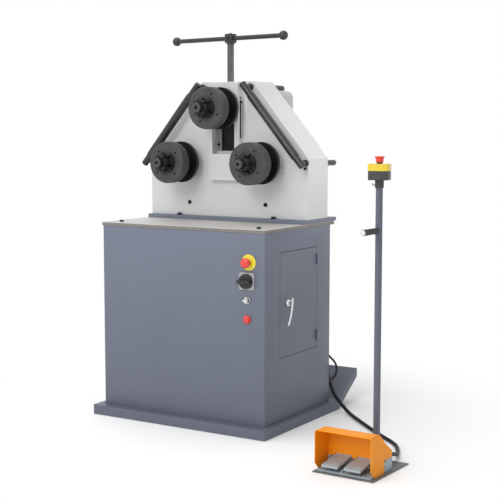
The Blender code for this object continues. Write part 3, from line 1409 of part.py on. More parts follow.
def build_door():
    """The door hangs on two hinges at its rear edge; its origin is on their axis."""
    low = (SIDE - DOOR_SHEET, FRONT + DOOR_FRONT, DOOR_FOOT)
    high = (SIDE, FRONT + DOOR_REAR, DOOR_TOP)
    origin = (HINGE_X, HINGE_Y, (DOOR_FOOT + DOOR_TOP) / 2)
    door = box("door", low, high, origin, finish=PAINT_BLUE)
    inner = SIDE - DOOR_SHEET
    frame_low_y = FRONT + DOOR_FRONT + STIFFENER_FRONT_INSET
    frame_high_y = FRONT + DOOR_REAR - STIFFENER_INSET
    stiffener = box(
        "door_stiffener", (inner - STIFFENER_DEPTH, frame_low_y, DOOR_FOOT + STIFFENER_INSET),
        (inner + WELD, frame_high_y, DOOR_TOP - STIFFENER_INSET),
    )
    well = box(
        "stiffener_well",
        (inner - STIFFENER_DEPTH - OVERRUN, frame_low_y + STIFFENER_WALL, DOOR_FOOT + STIFFENER_INSET + STIFFENER_WALL),
        (inner, frame_high_y - STIFFENER_WALL, DOOR_TOP - STIFFENER_INSET - STIFFENER_WALL),
    )
    fuse(door, cut(stiffener, well))
    share = HINGE_HEIGHT / 3 - GAP
    knuckles = []
    bores = []
    for number, z in enumerate(hinge_heights()):
        low_z = z - share / 2
        high_z = z + share / 2
        knuckle = rod(
            f"hinge_moving_{number}", (HINGE_X, HINGE_Y, low_z), (HINGE_X, HINGE_Y, high_z), HINGE_RADIUS, SMALL_SIDES
        )
        leaf = box(
            f"door_leaf_{number}", (SIDE - WELD, HINGE_Y - HINGE_LEAF, low_z),
            (SIDE + HINGE_LEAF_THICKNESS, HINGE_Y - GAP, high_z),
        )
        knuckles.append(fuse(knuckle, leaf))
        bores.append(rod(
            f"hinge_bore_{number}", (HINGE_X, HINGE_Y, low_z - OVERRUN), (HINGE_X, HINGE_Y, high_z + OVERRUN),
            HINGE_PIN_RADIUS + RUNNING_GAP, SMALL_SIDES,
        ))
    fuse(door, *knuckles)
    y = FRONT + LOCK_SETBACK
    rose = turned(
        "lock_rose",
        [
            (0, ROSE_LENGTH), (ROSE_RADIUS * ROSE_TIP_SHARE, ROSE_LENGTH),
            (ROSE_RADIUS, ROSE_LENGTH * ROSE_EDGE_SHARE), (ROSE_RADIUS, -WELD), (0, -WELD),
        ],
        (SIDE, y, LOCK_HEIGHT), "X",
    )
    lock_hole = rod(
        "lock_hole", (inner - OVERRUN, y, LOCK_HEIGHT), (SIDE + ROSE_LENGTH + OVERRUN, y, LOCK_HEIGHT),
        STEM_RADIUS + RUNNING_GAP, SMALL_SIDES,
    )
    fuse(door, rose)
    cut(door, *bores, lock_hole)
    build_lever(y)


def build_lever(y):
    """The lever hangs from its stem; the cam behind the door catches the cabinet's edge."""
    stem_end = SIDE + STEM_LENGTH
    cam_front = SIDE - DOOR_SHEET - GAP
    origin = (SIDE, y, LOCK_HEIGHT)
    lever = rod(
        "door_lever", (cam_front - CAM_THICKNESS, y, LOCK_HEIGHT), (stem_end, y, LOCK_HEIGHT), STEM_RADIUS,
        SMALL_SIDES, origin=origin, finish=BRIGHT_STEEL,
    )
    cam = box(
        "lock_cam", (cam_front - CAM_THICKNESS, y - CAM_LENGTH, LOCK_HEIGHT - CAM_WIDTH / 2),
        (cam_front, y + CAM_WIDTH / 2, LOCK_HEIGHT + CAM_WIDTH / 2),
    )
    curve = bpy.data.curves.new("lever_arm", "CURVE")
    curve.dimensions = "3D"
    curve.bevel_depth = LEVER_RADIUS
    curve.bevel_resolution = 2
    curve.use_fill_caps = True
    spline = curve.splines.new("POLY")
    steps = 8
    spline.points.add(steps)
    for number, point in enumerate(spline.points):
        share = number / steps
        z = LOCK_HEIGHT + LEVER_ABOVE - share * (LEVER_ABOVE + LEVER_BELOW)
        bow = LEVER_SWAY * share * share
        point.co = (stem_end - bow, y - bow, z, 1)
    arm = bpy.data.objects.new("lever_arm", curve)
    cutters.objects.link(arm)
    bpy.context.view_layer.update()
    seen = arm.evaluated_get(bpy.context.evaluated_depsgraph_get())
    bm = bmesh.new()
    mesh = bpy.data.meshes.new_from_object(seen)
    bm.from_mesh(mesh)
    bmesh.ops.remove_doubles(bm, verts=bm.verts, dist=0.000001)
    bpy.data.objects.remove(arm, do_unlink=True)
    fuse(lever, cam, place("lever_arm_solid", mesh_from(bm, "lever_arm_solid")))


def build_electrics():
    """The folded plate behind the door and the contactors on their rail."""
    front = FRONT + CABINET_SHEET + GAP
    rear = FRONT + CABINET_DEPTH - CABINET_SHEET - GAP
    outline = [
        (PLATE_X, front), (PLATE_X, rear), (PLATE_X - PLATE_FLANGE, rear),
        (PLATE_X - PLATE_FLANGE, rear - PLATE_SHEET), (PLATE_X - PLATE_SHEET, rear - PLATE_SHEET),
        (PLATE_X - PLATE_SHEET, front + PLATE_SHEET), (PLATE_X - PLATE_FLANGE, front + PLATE_SHEET),
        (PLATE_X - PLATE_FLANGE, front),
    ]
    height = PLATE_TOP - PLATE_FOOT
    plate(
        "electrical_plate", [outline], height, "XY", (0, 0, PLATE_FOOT + height / 2), finish=GREY_PLASTIC
    )
    y = FRONT + CONTACTOR_SETBACK
    width = CONTACTORS * CONTACTOR_WIDTH
    x = PLATE_X + GAP
    rail = box(
        "contactor_bank",
        (x, y - CONTACTOR_WIDTH / 2, CONTACTOR_Z - RAIL_HEIGHT / 2),
        (x + RAIL_DEPTH, y + width + CONTACTOR_WIDTH / 2, CONTACTOR_Z + RAIL_HEIGHT / 2),
        finish=BLACK_PLASTIC,
    )
    blocks = []
    half = CONTACTOR_HEIGHT / 2
    for number in range(CONTACTORS):
        low_y = y + number * CONTACTOR_WIDTH
        high_y = low_y + CONTACTOR_WIDTH - GAP
        body = box(
            f"contactor_{number}", (x + RAIL_DEPTH - WELD, low_y, CONTACTOR_Z - half),
            (x + CONTACTOR_DEPTH, high_y, CONTACTOR_Z + half),
        )
        steps = []
        for side in (-1, 1):
            low_z, high_z = sorted((side * (half - CONTACTOR_STEP), side * (half + OVERRUN)))
            steps.append(box(
                f"contactor_step_{number}", (x + CONTACTOR_DEPTH - CONTACTOR_STEP, low_y - OVERRUN, CONTACTOR_Z + low_z),
                (x + CONTACTOR_DEPTH + OVERRUN, high_y + OVERRUN, CONTACTOR_Z + high_z),
            ))
        blocks.append(cut(body, *steps))
    fuse(rail, *blocks)


def gland_profile(radius, length, bore):
    """Profile of a cable gland from its tip up, with the cable's face at the tip."""
    tip = radius * GLAND_TIP_SHARE
    return [
        (0, length), (radius, length), (radius, length * 0.5), (radius * 0.92, length * 0.45), (tip, 0), (0, 0),
    ]


def build_entry_box():
    """A small box on the back of the cabinet; two glands point down from it."""
    front = FRONT + CABINET_DEPTH + GAP
    entry = box(
        "cable_entry_box", (ENTRY_LEFT, front, ENTRY_FOOT), (ENTRY_RIGHT, front + ENTRY_DEPTH, ENTRY_FOOT + ENTRY_HEIGHT),
        finish=BLACK_PLASTIC,
    )
    thick_x, thick_y, thin_x, thin_y = gland_places()
    thick = turned("thick_gland", gland_profile(GLAND_RADIUS, GLAND_LENGTH + WELD, 0), (thick_x, thick_y, GLAND_FOOT))
    thin = turned("thin_gland", gland_profile(THIN_GLAND_RADIUS, GLAND_LENGTH + WELD, 0), (thin_x, thin_y, GLAND_FOOT))
    fuse(entry, thick, thin)


def gland_places():
    """Plan places of the two glands under the entry box."""
    thick_x = ENTRY_RIGHT - GLAND_RADIUS - WELD
    thick_y = FRONT + CABINET_DEPTH + GAP + GLAND_RADIUS + WELD
    thin_x = ENTRY_RIGHT - THIN_GLAND_RADIUS - GLAND_RADIUS
    thin_y = FRONT + CABINET_DEPTH + GAP + ENTRY_DEPTH - THIN_GLAND_RADIUS - WELD
    return thick_x, thick_y, thin_x, thin_y


def build_guard(station):
    """The hood is bent from one sheet; its side panels run back to the pedal housing."""
    foot = FOOT_THICKNESS + GAP
    outer = rounded(GUARD_LEFT, GUARD_RIGHT, foot - GUARD_TOP, GUARD_TOP, GUARD_BEND)
    inner = rounded(
        GUARD_LEFT + GUARD_SHEET, GUARD_RIGHT - GUARD_SHEET, foot - GUARD_TOP - GUARD_SHEET,
        GUARD_TOP - GUARD_SHEET, GUARD_BEND - GUARD_SHEET,
    )
    depth = WING_REACH - GUARD_FRONT
    middle = (0, GUARD_FRONT + depth / 2, 0)
    guard = plate("pedal_guard", [outer], depth, "XZ", middle, parent=station, finish=ORANGE)
    hollow = plate("guard_hollow", [inner], depth + 2 * OVERRUN, "XZ", middle, parent=station)
    side = [
        (GUARD_FRONT, foot + GUARD_CHAMFER), (GUARD_FRONT + GUARD_CHAMFER, foot), (GUARD_SIDE_DEPTH, foot),
        (GUARD_SIDE_DEPTH, WING_FOOT), (WING_REACH, WING_FOOT), (WING_REACH, WING_SHOULDER),
        (GUARD_SIDE_DEPTH, WING_ROOT), (GUARD_TOP_DEPTH, GUARD_TOP + OVERRUN), (GUARD_FRONT, GUARD_TOP + OVERRUN),
    ]
    width = GUARD_RIGHT - GUARD_LEFT
    across = (GUARD_LEFT + width / 2, 0, 0)
    shape = plate("guard_side_shape", [side], width + 2 * OVERRUN, "YZ", across, parent=station)
    cut(guard, hollow)
    keep(guard, shape)
    drop = GUARD_SIDE_DEPTH - GUARD_TOP_DEPTH - BACK_WALL_INSET
    rise = GUARD_TOP - WING_ROOT
    wall = [
        (GUARD_TOP_DEPTH - GUARD_SHEET, GUARD_TOP - GUARD_SHEET / 2), (GUARD_TOP_DEPTH, GUARD_TOP - GUARD_SHEET / 2),
        (GUARD_TOP_DEPTH + drop, GUARD_TOP - rise), (GUARD_TOP_DEPTH + drop, BACK_WALL_FOOT),
        (GUARD_TOP_DEPTH + drop - GUARD_SHEET, BACK_WALL_FOOT), (GUARD_TOP_DEPTH + drop - GUARD_SHEET, GUARD_TOP - rise),
    ]
    fuse(guard, plate("guard_back", [wall], width - GUARD_SHEET, "YZ", across, parent=station))


def build_pedals(station):
    """A cast housing carries the axle; each pedal's origin is on the axle."""
    foot = FOOT_THICKNESS + GAP
    ledge = HOUSING_FRONT + LIP_THICKNESS
    side = [
        (HOUSING_FRONT, foot), (HOUSING_REAR, foot), (HOUSING_REAR, HOUSING_HEIGHT - HOUSING_EDGE),
        (HOUSING_REAR - HOUSING_EDGE, HOUSING_HEIGHT), (BLOCK_FRONT + HOUSING_EDGE, HOUSING_HEIGHT),
        (BLOCK_FRONT, HOUSING_HEIGHT - HOUSING_EDGE), (BLOCK_FRONT, HOUSING_FLOOR), (ledge, HOUSING_FLOOR),
        (ledge, HOUSING_LIP), (HOUSING_FRONT, HOUSING_LIP),
    ]
    width = HOUSING_RIGHT - HOUSING_LEFT
    across = (HOUSING_LEFT + width / 2, 0, 0)
    housing = plate("pedal_housing", [side], width, "YZ", across, parent=station, finish=ALUMINIUM)
    rear = BLOCK_FRONT + HOUSING_EDGE
    rib_side = [
        (ledge, foot + WELD), (rear, foot + WELD), (rear, EAR_HEIGHT), (EAR_FRONT, EAR_HEIGHT),
        (ledge, RIB_FRONT_HEIGHT),
    ]
    rib = plate("housing_rib", [rib_side], RIB_WIDTH, "YZ", (RIB_X, 0, 0), parent=station)
    ears = []
    for low_x in (HOUSING_LEFT + WELD, HOUSING_RIGHT - EAR_WIDTH - WELD):
        ears.append(box(
            "housing_ear", (low_x, EAR_FRONT, foot + WELD), (low_x + EAR_WIDTH, rear, EAR_HEIGHT), parent=station
        ))
    gland = turned(
        "pedal_gland", gland_profile(PEDAL_GLAND_RADIUS, PEDAL_GLAND_LENGTH + WELD, 0),
        (PEDAL_GLAND_X, HOUSING_REAR + PEDAL_GLAND_LENGTH, PEDAL_GLAND_Z), "-Y", parent=station,
    )
    fuse(housing, rib, *ears, gland)
    start = (HOUSING_LEFT - GAP, AXLE_Y, AXLE_Z)
    end = (HOUSING_RIGHT + GAP, AXLE_Y, AXLE_Z)
    cut(housing, rod("axle_hole", start, end, AXLE_RADIUS + GAP, SMALL_SIDES, parent=station))
    rod("pedal_axle", start, end, AXLE_RADIUS, SMALL_SIDES, parent=station, finish=BRIGHT_STEEL)
    for name, x in (("left_pedal", LEFT_PEDAL_X), ("right_pedal", RIGHT_PEDAL_X)):
        origin = (x, AXLE_Y, AXLE_Z)
        rise = PEDAL_REAR_Z - PEDAL_FRONT_Z
        run = PEDAL_REAR - PEDAL_FRONT
        side = [
            (PEDAL_FRONT - AXLE_Y, PEDAL_FRONT_Z - PEDAL_THICKNESS - AXLE_Z),
            (PEDAL_REAR - AXLE_Y, PEDAL_REAR_Z - PEDAL_THICKNESS - AXLE_Z),
            (PEDAL_REAR - AXLE_Y, PEDAL_REAR_Z - AXLE_Z),
            (PEDAL_FRONT - AXLE_Y, PEDAL_FRONT_Z - AXLE_Z),
        ]
        pedal = plate(name, [side], PEDAL_WIDTH, "YZ", origin, parent=station, finish=ALUMINIUM)
        half = PEDAL_WIDTH / 2 - WELD
        hub_start = Vector((x - half, AXLE_Y, AXLE_Z))
        hub_end = Vector((x + half, AXLE_Y, AXLE_Z))
        hub = rod("pedal_hub", hub_start, hub_end, PEDAL_HUB_RADIUS, SMALL_SIDES, parent=station)
        web_top = PEDAL_FRONT_Z + rise * (AXLE_Y - PEDAL_FRONT) / run - PEDAL_THICKNESS / 2
        web = box(
            "pedal_web", (x - half, AXLE_Y - PEDAL_HUB_RADIUS / 2, AXLE_Z),
            (x + half, AXLE_Y + PEDAL_HUB_RADIUS / 2, web_top), parent=station,
        )
        fuse(pedal, fuse(hub, web))
        cut(pedal, rod(
            "pedal_bore", hub_start - Vector((OVERRUN, 0, 0)), hub_end + Vector((OVERRUN, 0, 0)),
            AXLE_RADIUS + RUNNING_GAP, SMALL_SIDES, parent=station,
        ))


def build_post(station):
    """The post stands behind the pedals and carries a grip and the emergency stop box."""
    foot = FOOT_THICKNESS + GAP
    centre = Vector((POST_X, POST_Y, 0))
    bore = POST_RADIUS - POST_WALL
    profile = [
        (bore, POST_TOP), (POST_RADIUS, POST_TOP), (POST_RADIUS, foot + POST_FLANGE_THICKNESS),
        (POST_FLANGE_RADIUS, foot + POST_FLANGE_THICKNESS), (POST_FLANGE_RADIUS, foot), (bore, foot),
    ]
    post = turned("station_post", profile, centre, closed=True, sides=SIDES, parent=station, finish=PAINT_BLUE)
    grip_root = centre + Vector((0, -POST_RADIUS + POST_WALL / 2, GRIP_HEIGHT))
    grip_tip = centre + Vector((0, -GRIP_END, GRIP_HEIGHT))
    fuse(post, rod("grip_core", grip_root, grip_tip, GRIP_CORE_RADIUS, SMALL_SIDES, parent=station))
    inner = GRIP_CORE_RADIUS + GAP
    length = GRIP_END - GRIP_START
    profile = [(inner, length)]
    for number in range(GRIP_RIBS):
        top = length * (GRIP_RIBS - number) / GRIP_RIBS
        low = length * (GRIP_RIBS - number - 0.5) / GRIP_RIBS
        profile += [(GRIP_RADIUS - GRIP_RIB, top), (GRIP_RADIUS, (top + low) / 2), (GRIP_RADIUS - GRIP_RIB, low)]
    profile += [(GRIP_RADIUS - GRIP_RIB, 0), (inner, 0)]
    turned(
        "post_grip", profile, centre + Vector((0, -GRIP_START, GRIP_HEIGHT)), "-Y", SMALL_SIDES, closed=True,
        parent=station, finish=RUBBER,
    )
    holder = empty("stop_box_frame", centre, BOX_TURN, station)
    half = BOX_SIZE / 2
    outline = rounded(-half, half, -half, half, BOX_CORNER)
    base = plate(
        "stop_box_base", [outline], BOX_HEIGHT, "XY", (0, 0, BOX_FOOT + BOX_HEIGHT / 2), parent=holder,
        finish=BLACK_PLASTIC,
    )
    socket = rod(
        "post_socket", (0, 0, SOCKET_FOOT), (0, 0, BOX_FOOT + WELD), SOCKET_RADIUS, parent=holder
    )
    fuse(base, socket)
    cut(base, rod(
        "socket_bore", (0, 0, SOCKET_FOOT - OVERRUN), (0, 0, POST_TOP + GAP), POST_RADIUS + GAP, parent=holder
    ))
    half = COVER_SIZE / 2
    outline = rounded(-half, half, -half, half, BOX_CORNER)
    cover_foot = BOX_FOOT + BOX_HEIGHT + GAP
    cover_top = cover_foot + COVER_HEIGHT
    cover = plate(
        "stop_box_cover", [outline], COVER_HEIGHT, "XY", (0, 0, cover_foot + COVER_HEIGHT / 2), parent=holder,
        finish=YELLOW,
    )
    cut(cover, rod(
        "post_stem_bore", (0, 0, cover_top - POST_STEM_LENGTH - STOP_TRAVEL - GAP), (0, 0, cover_top + OVERRUN),
        POST_STEM_RADIUS + RUNNING_GAP, parent=holder,
    ))
    cap_top = POST_CAP_SETOFF + POST_CAP_LENGTH
    turned(
        "post_mushroom",
        [
            (0, cap_top), (POST_CAP_RADIUS - SHAFT_EDGE, cap_top), (POST_CAP_RADIUS, cap_top - SHAFT_EDGE),
            (POST_CAP_NECK, cap_top - POST_CAP_FLARE), (POST_CAP_NECK, POST_CAP_SETOFF),
            (POST_STEM_RADIUS, POST_CAP_SETOFF), (POST_STEM_RADIUS, -POST_STEM_LENGTH), (0, -POST_STEM_LENGTH),
        ],
        (0, 0, cover_top), parent=holder, finish=RED,
    )


def smooth_route(points, step):
    """Read a centripetal spline through the route's points at nearly even steps."""
    ends = [points[0] * 2 - points[1], *points, points[-1] * 2 - points[-2]]
    dense = []
    fine = 24
    for i in range(1, len(ends) - 2):
        a, b, c, d = ends[i - 1], ends[i], ends[i + 1], ends[i + 2]
        knots = [0.0]
        for first, second in ((a, b), (b, c), (c, d)):
            knots.append(knots[-1] + math.sqrt((second - first).length))
        for k in range(fine):
            t = knots[1] + (knots[2] - knots[1]) * k / fine
            ab = a.lerp(b, (t - knots[0]) / (knots[1] - knots[0]))
            bc = b.lerp(c, (t - knots[1]) / (knots[2] - knots[1]))
            cd = c.lerp(d, (t - knots[2]) / (knots[3] - knots[2]))
            abc = ab.lerp(bc, (t - knots[0]) / (knots[2] - knots[0]))
            bcd = bc.lerp(cd, (t - knots[1]) / (knots[3] - knots[1]))
            dense.append(abc.lerp(bcd, (t - knots[1]) / (knots[2] - knots[1])))
    dense.append(points[-1])
    lengths = [0.0]
    for first, second in zip(dense, dense[1:]):
        lengths.append(lengths[-1] + (second - first).length)
    count = max(2, round(lengths[-1] / step))
    route = []
    place_at = 0
    for number in range(count + 1):
        wanted = lengths[-1] * number / count
        while place_at < len(lengths) - 2 and lengths[place_at + 1] < wanted:
            place_at += 1
        span = lengths[place_at + 1] - lengths[place_at]
        share = (wanted - lengths[place_at]) / span if span else 0
        route.append(dense[place_at].lerp(dense[place_at + 1], min(1, share)))
    return route, lengths[-1]


def cable(name, route, radius, finish=RUBBER, resolution=2, **where):
    """A round cable along a route."""
    curve = bpy.data.curves.new(name, "CURVE")
    curve.dimensions = "3D"
    curve.bevel_depth = radius
    curve.bevel_resolution = resolution
    curve.use_fill_caps = True
    spline = curve.splines.new("POLY")
    spline.points.add(len(route) - 1)
    for point, spot in zip(spline.points, route):
        point.co = (*spot, 1)
    drawn = bpy.data.objects.new(name + "_route", curve)
    cutters.objects.link(drawn)
    bpy.context.view_layer.update()
    seen = drawn.evaluated_get(bpy.context.evaluated_depsgraph_get())
    mesh = bpy.data.meshes.new_from_object(seen)
    bpy.data.objects.remove(drawn, do_unlink=True)
    bm = bmesh.new()
    bm.from_mesh(mesh)
    bmesh.ops.remove_doubles(bm, verts=bm.verts, dist=0.000001)
    mesh.materials.clear()
    return place(name, mesh_from(bm, name), finish=finish, **where)


def station_point(station, x, y, z):
    """A point of the foot station in world places."""
    return station.matrix_world @ Vector((x, y, z))


def from_corner(shares):
    """A cable point, given in shares of the cabinet's depth from its rear right corner."""
    across, back, up = shares
    return Vector((SIDE + CABINET_DEPTH * across, REAR + CABINET_DEPTH * back, CABINET_DEPTH * up))


def pedal_cable_points(station):
    """Route of the pedal cable, from the gland under the entry box to the pedal housing."""
    thick_x, thick_y, thin_x, thin_y = gland_places()
    rest = PEDAL_CABLE_RADIUS + CABLE_REST_GAP
    gland_end = HOUSING_REAR + PEDAL_GLAND_LENGTH + GAP
    over = [from_corner(shares) for shares in OVER_PLINTH_SHARES]
    floor = [Vector((*from_corner(shares).xy, rest)) for shares in FLOOR_SHARES]
    hanging = [station_point(station, *(FOOT_DEPTH * share for share in shares)) for shares in STATION_ROUTE_SHARES]
    return [
        Vector((thick_x, thick_y, GLAND_FOOT - GAP)),
        Vector((thick_x, thick_y, GLAND_FOOT - GLAND_RUN)),
        *over, *floor, *hanging,
        station_point(station, PEDAL_GLAND_X, gland_end + GLAND_RUN, PEDAL_GLAND_Z),
        station_point(station, PEDAL_GLAND_X, gland_end, PEDAL_GLAND_Z),
    ]


def build_cables(station):
    """The pedal cable lies over the plinth and the floor; the thin cable joins it at a sleeve."""
    route, length = smooth_route(pedal_cable_points(station), CABLE_STEP)
    cable("pedal_cable", route, PEDAL_CABLE_RADIUS)
    print("pedal cable length", round(length, 3), "points", len(route))
    fine, total = smooth_route(pedal_cable_points(station), CABLE_STEP / 10)
    first = round(len(fine) * SLEEVE_START_SHARE)
    last = round(len(fine) * SLEEVE_END_SHARE)
    start = fine[first]
    end = fine[last]
    along = (end - start).normalized()
    span = (end - start).length
    bore = PEDAL_CABLE_RADIUS + SLEEVE_CLEARANCE
    tip = bore + (SLEEVE_RADIUS - bore) * SLEEVE_TIP_SHARE
    profile = [
        (bore, span), (tip, span), (SLEEVE_RADIUS, span * 0.8), (SLEEVE_RADIUS, span * 0.2), (tip, 0), (bore, 0),
    ]
    sleeve = turned("cable_sleeve", profile, start, closed=True, sides=SMALL_SIDES, finish=RUBBER)
    turn = Vector((0, 0, 1)).rotation_difference(along).to_matrix().to_4x4()
    sleeve.data.transform(turn)
    thick_x, thick_y, thin_x, thin_y = gland_places()
    middle = start + (end - start) * INLET_ROOT_SHARE
    mouth = middle + Vector(SLEEVE_MOUTH_SHARES) * SLEEVE_RADIUS
    inlet = rod(
        "sleeve_inlet", middle + (mouth - middle) * INLET_START_SHARE, mouth, THIN_CABLE_RADIUS * 1.45, SMALL_SIDES,
        tip_radius=THIN_CABLE_RADIUS * 1.2,
    )
    fuse(sleeve, inlet)
    back = (mouth - middle).normalized()
    thin_points = [
        Vector((thin_x, thin_y, GLAND_FOOT - GAP)),
        Vector((thin_x, thin_y, GLAND_FOOT - THIN_GLAND_RUN)),
        *(from_corner(shares) for shares in THIN_ROUTE_SHARES),
        mouth + back * INLET_RUN,
        mouth + back * GAP,
    ]
    thin_route, thin_length = smooth_route(thin_points, CABLE_STEP / 3)
    cable("thin_cable", thin_route, THIN_CABLE_RADIUS)
    print("thin cable length", round(thin_length, 3), "points", len(thin_route))


def build_station():
    """The foot plate carries the guard, the pedals and the post."""
    station = empty("station", (STATION_X, FRONT + STATION_SETBACK, 0), STATION_TURN)
    box("foot_plate", (0, 0, 0), (FOOT_WIDTH, FOOT_DEPTH, FOOT_THICKNESS), parent=station, finish=DARK_STEEL)
    build_guard(station)
    build_pedals(station)
    build_post(station)
    return station


def main():
    build_plinth()
    build_cabinet()
    build_table()
    build_head()
    build_bearing_flanges()
    build_slot_pieces()
    build_slide((0, SCREW_Y, UPPER_Z))
    build_screw()
    rear = HEAD_SETBACK + HEAD_DEPTH - SHAFT_REAR_MARGIN
    lower_collar = HEAD_SETBACK - BEARING_FLANGE_LENGTH - GAP
    build_roller_set("lower_left", -LOWER_SPACING, LOWER_Z, rear, lower_collar, False, math.radians(41))
    build_roller_set("lower_right", LOWER_SPACING, LOWER_Z, rear, lower_collar, False, math.radians(57))
    upper_rear = CHEEK_REAR - FRONT + GAP + REAR_COLLAR_LENGTH
    build_roller_set(
        "upper", 0, UPPER_Z, upper_rear, SLIDE_BOSS_SETBACK - GAP, True, math.radians(-26)
    )
    build_gears()
    build_gearmotor()
    build_rest_rods()
    build_guide_bars()
    build_controls()
    build_door()
    build_electrics()
    build_entry_box()
    build_cables(build_station())


main()
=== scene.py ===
"""Looks of the ring roller: finishes, fasteners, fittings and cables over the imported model."""

import math

import bmesh
import bpy
from mathutils import Matrix, Vector


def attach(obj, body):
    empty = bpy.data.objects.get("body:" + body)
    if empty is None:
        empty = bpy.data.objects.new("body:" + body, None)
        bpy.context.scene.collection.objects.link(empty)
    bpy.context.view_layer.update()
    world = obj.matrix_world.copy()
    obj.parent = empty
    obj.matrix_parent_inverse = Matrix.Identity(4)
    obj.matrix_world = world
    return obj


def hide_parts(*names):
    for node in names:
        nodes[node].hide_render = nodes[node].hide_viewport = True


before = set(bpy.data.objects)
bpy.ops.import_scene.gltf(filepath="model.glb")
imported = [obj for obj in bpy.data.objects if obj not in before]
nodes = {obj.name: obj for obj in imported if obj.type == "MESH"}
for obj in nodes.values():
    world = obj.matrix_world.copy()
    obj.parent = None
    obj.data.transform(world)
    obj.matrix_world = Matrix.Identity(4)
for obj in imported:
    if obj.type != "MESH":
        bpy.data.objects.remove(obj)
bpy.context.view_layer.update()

# Places repeated from the model, in metres
FRONT = -0.2665
SIDE = 0.3965
HEAD_FRONT = 0.0765
TABLE_TOP = 0.8121
BASE_TOP = 0.8279
ROLL_X = 0.2
LOWER_Z = 1.0582
UPPER_Z = 1.2842
ROLLS = {"lower_left": (-ROLL_X, LOWER_Z), "lower_right": (ROLL_X, LOWER_Z), "upper": (0.0, UPPER_Z)}
SCREW_Y = 0.1072
HUB_FOOT = 1.5577
HUB_TOP = 1.5957
HINGE_Y = 0.1485
LOCK = (-0.1055, 0.512)
FRAME_RIGHT = 0.0738
GEARBOX_REAR = 0.3985
MOTOR_X = 0.072
MOTOR_Y = 0.3385
MOTOR_LEAD_Y = 0.4450
TERMINAL_FOOT = 1.1655
TERMINAL_TOP = 1.2555
TERMINAL_REAR = 0.4665
COWL_TOP = 1.3618
ELECTRICAL_PLATE_X = 0.2353
ENTRY_GLANDS = ((0.3425, 0.2803, 0.0151), (0.3345, 0.3228, 0.0112))
POST_SPOT = (0.1395, 0.216)
STOP_BOX_TOP = 1.0778
PEDAL_HOUSING_REAR = 0.1785
STATION = Matrix.Translation((0.7715, FRONT - 0.2984, 0)) @ Matrix.Rotation(math.radians(-1.9), 4, "Z")
BOX_FRAME = STATION @ Matrix.Translation((*POST_SPOT, 0)) @ Matrix.Rotation(math.radians(16.9), 4, "Z")
TOMMY_TURN = math.radians(-6.7)

# How deep an added piece sinks into the face under it
SINK = 0.0004
SHALLOW_SINK = 0.0003

PEDAL_CABLE_RADIUS = 0.0075
THIN_CABLE_RADIUS = 0.0045

# What a small part is made of, what it rides and its slot
ZINC = ("zinc", "stand", "bright_metal")
OXIDE = ("black_oxide", "stand", "black_steel")

CAMERA_PLACE = (2.7018, -4.0800, 1.2000)
CAMERA_AZIMUTH = math.radians(31.894)
CAMERA_PITCH = math.radians(5.933)
CAMERA_LENS = 84.16

PEDAL_ROUTE = (
    (0.3425, 0.2803, 0.2997), (0.3425, 0.2803, 0.2660), (0.3500, 0.2835, 0.2250), (0.3660, 0.2880, 0.1800),
    (0.3810, 0.2910, 0.1350), (0.3940, 0.2915, 0.0950), (0.4080, 0.2890, 0.0690), (0.4240, 0.2840, 0.0525),
    (0.4400, 0.2750, 0.0435), (0.4600, 0.2630, 0.0325), (0.4800, 0.2510, 0.0220), (0.5000, 0.2390, 0.0128),
    (0.5250, 0.2200, 0.0079), (0.5790, 0.1660, 0.0079), (0.7240, 0.0290, 0.0079), (0.7980, -0.0370, 0.0079),
    (0.8480, -0.0790, 0.0079), (0.8900, -0.1240, 0.0079), (0.9170, -0.1690, 0.0079), (0.9473, -0.2406, 0.0120),
    (0.9600, -0.2830, 0.0240), (0.9643, -0.3329, 0.0360), (0.9632, -0.3668, 0.0360),
)

THIN_ROUTE = (
    (0.3996, 0.2982, 0.1374), (0.4038, 0.3003, 0.1435), (0.4076, 0.3030, 0.1532), (0.4093, 0.3069, 0.1679),
    (0.4045, 0.3138, 0.1855), (0.3908, 0.3209, 0.2023), (0.3693, 0.3210, 0.2207), (0.3500, 0.3225, 0.2410),
    (0.3375, 0.3228, 0.2640), (0.3345, 0.3228, 0.2830), (0.3345, 0.3228, 0.2997),
)


def camera():
    """The photograph's viewpoint."""
    data = bpy.data.cameras.new("camera")
    data.sensor_width = 36
    data.lens = CAMERA_LENS
    data.clip_end = 60
    thing = bpy.data.objects.new("camera", data)
    thing.location = CAMERA_PLACE
    thing.rotation_euler = (math.pi / 2 - CAMERA_PITCH, 0, CAMERA_AZIMUTH)
    bpy.context.scene.collection.objects.link(thing)
    bpy.context.scene.camera = thing


